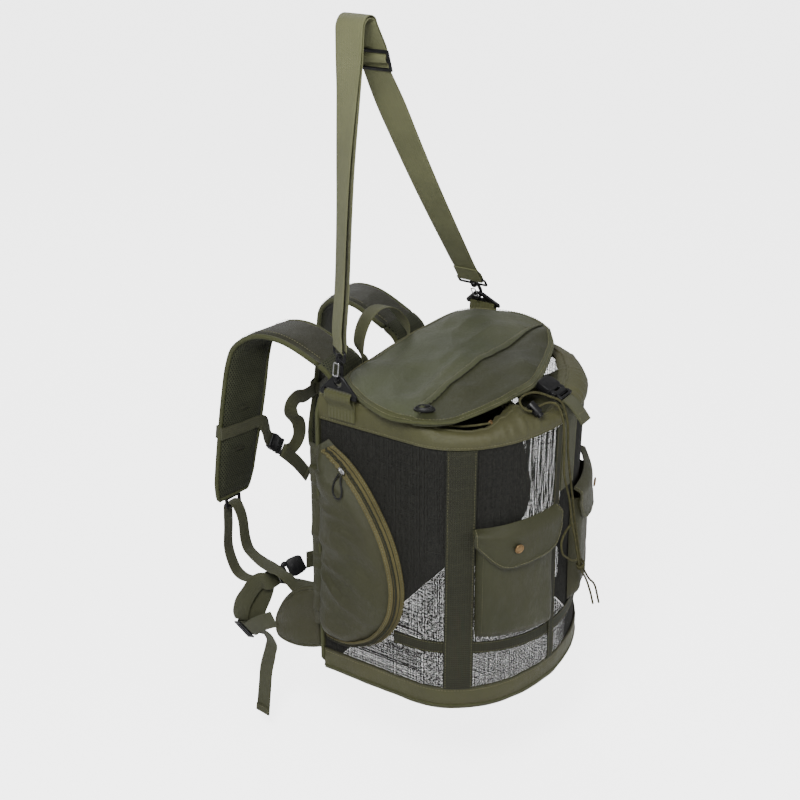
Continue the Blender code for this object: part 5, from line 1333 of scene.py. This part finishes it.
def puffed(mesh, grain, cap, voxel):
    """The pad blown up as cloth, cap metres at most. grain gives each point its place in the weave."""
    obj = held(mesh)
    remesh = obj.modifiers.new("even", "REMESH")
    remesh.mode, remesh.voxel_size = "VOXEL", voxel
    even = applied(obj)
    obj = held(even)
    cloth = obj.modifiers.new("cloth", "CLOTH")
    cloth.settings.use_pressure = True
    cloth.settings.uniform_pressure_force = 4.0
    cloth.settings.effector_weights.gravity = 0.0
    cloth.settings.quality = 5
    cloth.point_cache.frame_start, cloth.point_cache.frame_end = 1, 20
    before = [v.co.copy() for v in even.vertices]
    for number in range(1, 21):
        SCENE.frame_set(number)
    after = obj.evaluated_get(bpy.context.evaluated_depsgraph_get()).to_mesh()
    moved = [v.co.copy() for v in after.vertices]
    obj.modifiers.clear()
    for v, a, b in zip(even.vertices, before, moved):
        step = b - a
        v.co = a + (step if step.length <= cap else step.normalized() * cap)
    SCENE.frame_set(1)
    finer = obj.modifiers.new("finer", "SUBSURF")
    finer.levels = finer.render_levels = 1
    done = applied(obj)
    layer = done.uv_layers.get(GRAIN) or done.uv_layers.new(name=GRAIN)
    flat = []
    for corner in done.loops:
        flat.extend(grain(done.vertices[corner.vertex_index].co))
    layer.data.foreach_set("uv", flat)
    return done


def pad_mesh(name, rows, high, low):
    """A closed pad on both sides of a grid: high and low give each side's distance at (share, share)."""
    return sealed(skin_mesh(name, rows, lambda a, b: -low(a, b), high))


STRAP = [
    (0.1515, 0.3960, 0, 0.078), (0.1620, 0.4180, 0, 0.079), (0.1900, 0.4340, 0, 0.080),
    (0.2340, 0.4510, -3, 0.083), (0.2740, 0.4500, -7, 0.087), (0.3030, 0.4290, -12, 0.091),
    (0.3140, 0.4000, -15, 0.094), (0.3210, 0.3500, -17, 0.098), (0.3300, 0.2890, -15, 0.101),
    (0.3380, 0.2350, -10, 0.104), (0.3430, 0.1860, -6, 0.108),
]
for side, sign in (("left", -1), ("right", 1)):
    line = spline([(x * sign, y, z, turn) for y, z, turn, x in STRAP], 0.006)
    mids = [Vector(p[:3]) for p in line]
    rows, wear = [], []                 # wear looks towards the wearer
    for i, p in enumerate(line):
        a, b = line[max(i - 1, 0)], line[min(i + 1, len(line) - 1)]
        along = Vector((0.0, b[1] - a[1], b[2] - a[2])).normalized()
        turn = math.radians(p[3])
        across = Vector((math.cos(turn), -sign * math.sin(turn), 0.0))
        across = (across - along * across.dot(along)).normalized()
        left_over = (len(line) - 1 - i) * 0.006
        half = 0.0345 * (1.0 if left_over > 0.030 else 0.80 + 0.20 * (left_over / 0.030) ** 0.6)
        rows.append([mids[i] + across * half * k for k in span(-1.0, 1.0, 18)])
        inward = along.cross(across)
        wearer = Vector((0, -0.7, -0.7)) if mids[i].z > 0.43 else Vector((0, -1, 0))
        wear.append(inward if inward.dot(wearer) > 0 else -inward)
    run = lengths(mids)
    tacks = [min((k for k in range(len(rows)) if mids[k].y > 0.30), key=lambda k: abs(mids[k].z - tack_z))
             for tack_z in (0.3270, 0.2640)]

    def strap_at(p):
        return min(range(len(mids)), key=lambda i: (mids[i] - p).length_squared)

    def weave_at(p):
        i = strap_at(p)
        ahead = ahead_at(mids, i).normalized()
        across = (rows[i][18] - rows[i][0]).normalized()
        return (p - mids[i]).dot(across) + 0.04, run[i] + (p - mids[i]).dot(ahead)

    def thick_at(a, b):
        edge = 1 - abs(2 * b - 1)
        end = min(a, 1 - a) * run[-1]
        h = 0.0027 + 0.0025 * min(1.0, edge / 0.30) ** 0.55 * min(1.0, end / 0.010) ** 0.5
        for tack in tacks:
            h -= 0.0022 * math.exp(-((a * run[-1] - run[tack]) / 0.007) ** 2 - ((b - 0.5) * 0.069 / 0.011) ** 2)
        return h + 0.0005 * noise.noise(Vector((a * 30, b * 5, 3.0 + sign))) * min(1.0, edge / 0.3)

    mesh = puffed(pad_mesh("pad_" + side, rows, thick_at, thick_at), weave_at, 0.0014, 0.0034)
    pad = place("pad_" + side, mesh, "strap_cloth", ("shoulder_strap_" + side,))
    second_cloth(pad, "airmesh_dark", lambda p, normal: wear[strap_at(p)].dot(normal) > 0.15)
    for k, name in ((0, "a"), (18, "b")):
        frames = [((row[k] - row[9]).normalized(), w) for row, w in zip(rows, wear)]
        tube(f"pad_binding_{side}_{name}", [row[k] for row in rows], 0.0034, "binding_olive", sides=12,
             frames=frames, squash=1.05)
    tube(f"pad_binding_{side}_foot", rows[-1], 0.0034, "binding_olive", sides=12)
    for label, i in zip(("high", "low"), tacks):
        bar = [rows[i][j] + wear[i] * (thick_at(i / (len(rows) - 1), 0.5) + 0.0022
                                       - 0.0018 * (abs(j - 9) / 3) ** 2)
               for j in range(6, 13)]
        tube(f"pad_bartack_{side}_{label}", bar, [0.0010, 0.0020, 0.0026, 0.0028, 0.0026, 0.0020, 0.0010],
             "webbing_dark", sides=12)
    for j, share in ((2, 0.10), (16, 0.90)):
        outer = [row[j] - wear[i] * (thick_at(i / (len(rows) - 1), share) + 0.0009)
                 for i, row in enumerate(rows)]
        stitch(outer[3:-2], [-w for w in wear][3:-2])

WING = [(0.1490, 0.1600, 0.0265, 0.1180), (0.1660, 0.1640, 0.0215, 0.1160), (0.1850, 0.1680, 0.0190, 0.1070),
        (0.2030, 0.1700, 0.0200, 0.0870), (0.2160, 0.1700, 0.0235, 0.0620), (0.2210, 0.1690, 0.0300, 0.0480)]


def wing_thick(a, b):
    edge = min(1.0, min(min(b, 1 - b) * 0.085, (1 - a) * 0.072) / 0.014)
    fold = noise.noise(Vector((a * 2.6, b * 3.2, 7.0)))
    return 0.0024 + 0.0014 * edge ** 0.6 + 0.0026 * fold * edge


for side, sign in (("left", -1), ("right", 1)):
    rows = [[Vector((x * sign, y, z)) for z in span(z0, z1, 24)] for y, x, z0, z1 in spline(WING, 0.003)]
    mesh = puffed(pad_mesh("wing_" + side, rows, wing_thick, wing_thick), lambda p: (p.y, p.z),
                  0.0012, 0.0032)
    wing = place("wing_" + side, mesh, "cloth_olive", ("hip_wing_" + side,))
    second_cloth(wing, "airmesh_dark", lambda p, normal: -sign * normal.x > 0.15)
    edge = [row[0] for row in rows] + rows[-1][1:-1] + [row[-1] for row in rows[::-1]]
    tube("wing_binding_" + side, edge, 0.0031, "cloth_olive", sides=10)

BACK_W, BACK_H, BACK_MID = 0.345, 0.41, 0.2055
HALF_WIDTHS = ((-0.2045, 0.156), (-0.188, 0.1745), (0.188, 0.174), (0.205, 0.166))


def quilt(a, b):
    """The wearer's side: four fat channels between sewn lines, thin at the bound edge."""
    edge = min(min(b, 1 - b) * BACK_W, min(a, 1 - a) * BACK_H)
    x = abs(b - 0.5) * BACK_W
    line = min(1.0, min(x, abs(x - 0.085)) / 0.012) ** 0.5
    top = 0.0022 + 0.0090 * min(1.0, edge / 0.016) ** 0.55 * (0.45 + 0.55 * line)
    return top + 0.0004 * noise.noise(Vector((a * 12, b * 10, 4.0)))


rows = [[Vector((eased(HALF_WIDTHS, v) * u, BACK_Y + 0.0012, BACK_MID + v)) for u in span(-1, 1, 70)]
        for v in span(-0.2045, 0.205, 90)]
back_pad = place("back_pad", pad_mesh("back_pad", rows, quilt, lambda a, b: 0.0006), "cloth_olive",
                 ("back_panel",))
second_cloth(back_pad, "airmesh_dark", lambda p, normal: normal.y > 0.15)
edge = rows[0] + [row[-1] for row in rows[1:-1]] + rows[-1][::-1] + [row[0] for row in rows[-2:0:-1]]
tube("back_binding", [p + Vector((0, 0.0016, 0)) for p in edge], 0.0030, "binding_olive", sides=10,
     closed=True)

# ---------------------------------------------------------------- cords
DRAWCORD = [
    (0.0660, -0.1560, 0.0790), (0.0540, -0.1560, 0.1050), (0.0380, -0.1560, 0.1330), (0.0184, -0.1560, 0.1596),
    (0.0106, -0.1555, 0.1760), (-0.0020, -0.1540, 0.2180), (-0.0110, -0.1520, 0.2480), (-0.0200, -0.1510, 0.2840),
    (-0.0360, -0.1500, 0.3240), (-0.0400, -0.1500, 0.3600), (-0.0430, -0.1500, 0.3850), (-0.0440, -0.1470, 0.4080),
    (-0.0450, -0.1390, 0.4240), (-0.0475, -0.1270, 0.4250), (-0.0540, -0.1168, 0.4191),
    (-0.0700, -0.1168, 0.4191), (-0.0765, -0.1100, 0.4230),
    (-0.0730, -0.1010, 0.4300), (-0.0600, -0.1010, 0.4340), (-0.0480, -0.1100, 0.4350), (-0.0390, -0.1260, 0.4300),
    (-0.0350, -0.1400, 0.4240), (-0.0340, -0.1480, 0.4050), (-0.0320, -0.1500, 0.3850), (-0.0290, -0.1500, 0.3550),
    (-0.0200, -0.1500, 0.3200), (-0.0110, -0.1510, 0.2840), (-0.0030, -0.1520, 0.2480), (0.0060, -0.1545, 0.2080),
    (0.0150, -0.1560, 0.1742), (0.0243, -0.1560, 0.1594), (0.0460, -0.1560, 0.1310), (0.0680, -0.1560, 0.1080),
    (0.0860, -0.1560, 0.0700),
]
TURN = 15                               # where it leaves the lock


def cord(name, points, node):
    path = [Vector(p[:3]) for p in spline(points, 0.0022)]
    made = tube(name, path, CORD_R, "cord_olive", (node,), sides=12)


KNOT_MID = Vector((0.0172, -0.1559, 0.1672))
KNOT_LONG, KNOT_WIDE = Vector((0.48, 0.0, -0.88)).normalized(), Vector((0.88, 0.0, 0.48))
coil = []                               # two turns round both strands
for share in span(0.0, 1.0, 72):
    a = 4 * math.pi * share
    coil.append(KNOT_MID + KNOT_LONG * (-0.0034 + 0.0068 * share) + KNOT_WIDE * 0.0060 * math.cos(a)
                + Vector((0, 0.0042 * math.sin(a), 0)))
knot = tube("drawcord_knot", coil, CORD_R, "cord_olive", ("cord_knot",), sides=12)
cord("cord_strand_a", DRAWCORD[:TURN][::-1], "drawcord")
cord("cord_strand_b", DRAWCORD[TURN:], "drawcord")
cord("cord_side_loop", [
    (-0.0075, -0.1491, 0.2380), (-0.0210, -0.1485, 0.2330), (-0.0340, -0.1500, 0.2240), (-0.0330, -0.1520, 0.2080),
    (-0.0210, -0.1530, 0.1960), (-0.0070, -0.1540, 0.1850), (0.0069, -0.1545, 0.1790)], "drawcord_loop")
eyelet = frame_at((-0.1082, -0.0800, 0.4094), (0.2, 0.3, 1.0), (-0.95, 0.3, 0.1))
place("rim_eyelet", lathe("rim_eyelet", [(0.0014, 0.0008), (0.0022, 0.0013), (0.0032, 0.0009), (0.0036, 0.0),
                                         (0.0032, -0.0009), (0.0022, -0.0012), (0.0014, -0.0008)], eyelet, 20),
      "brass_snap")
cord("cord_across_rim", [
    (-0.1484, -0.0190, 0.4082), (-0.1424, -0.0462, 0.4096), (-0.1290, -0.0666, 0.4101),
    (-0.1100, -0.0806, 0.4096)], "drawcord_gap")

# ---------------------------------------------------------------- stitches and floor
for kind, (verts, faces) in STITCHES.items():
    place("stitches_" + kind, from_lists("stitches_" + kind, verts, faces), kind)

FAR, FLOOR_AT = 60.0, -1.062
floor = bpy.data.objects.new("floor", bpy.data.meshes.new("floor"))
floor.data.from_pydata([(x, y, FLOOR_AT) for x, y in ((-FAR, -FAR), (FAR, -FAR), (FAR, FAR), (-FAR, FAR))], [],
                       [(0, 1, 2, 3)])
SCENE.collection.objects.link(floor)
ground = Surface("floor_pale", rough=0.9, spec=0.1)
pale = ground.mix(ground.noise(1.4, 2.0, 0.5), (0.80, 0.80, 0.80), (0.84, 0.84, 0.84))
glow = ground.math("MULTIPLY", ground.node("LightPath").outputs["Is Camera Ray"], 3.5)
for key, value in (("Base Color", pale), ("Emission Color", (1.0, 1.0, 1.0, 1.0)), ("Emission Strength", glow)):
    ground.put(ground.shader[key], value)
floor.data.materials.append(ground.made)
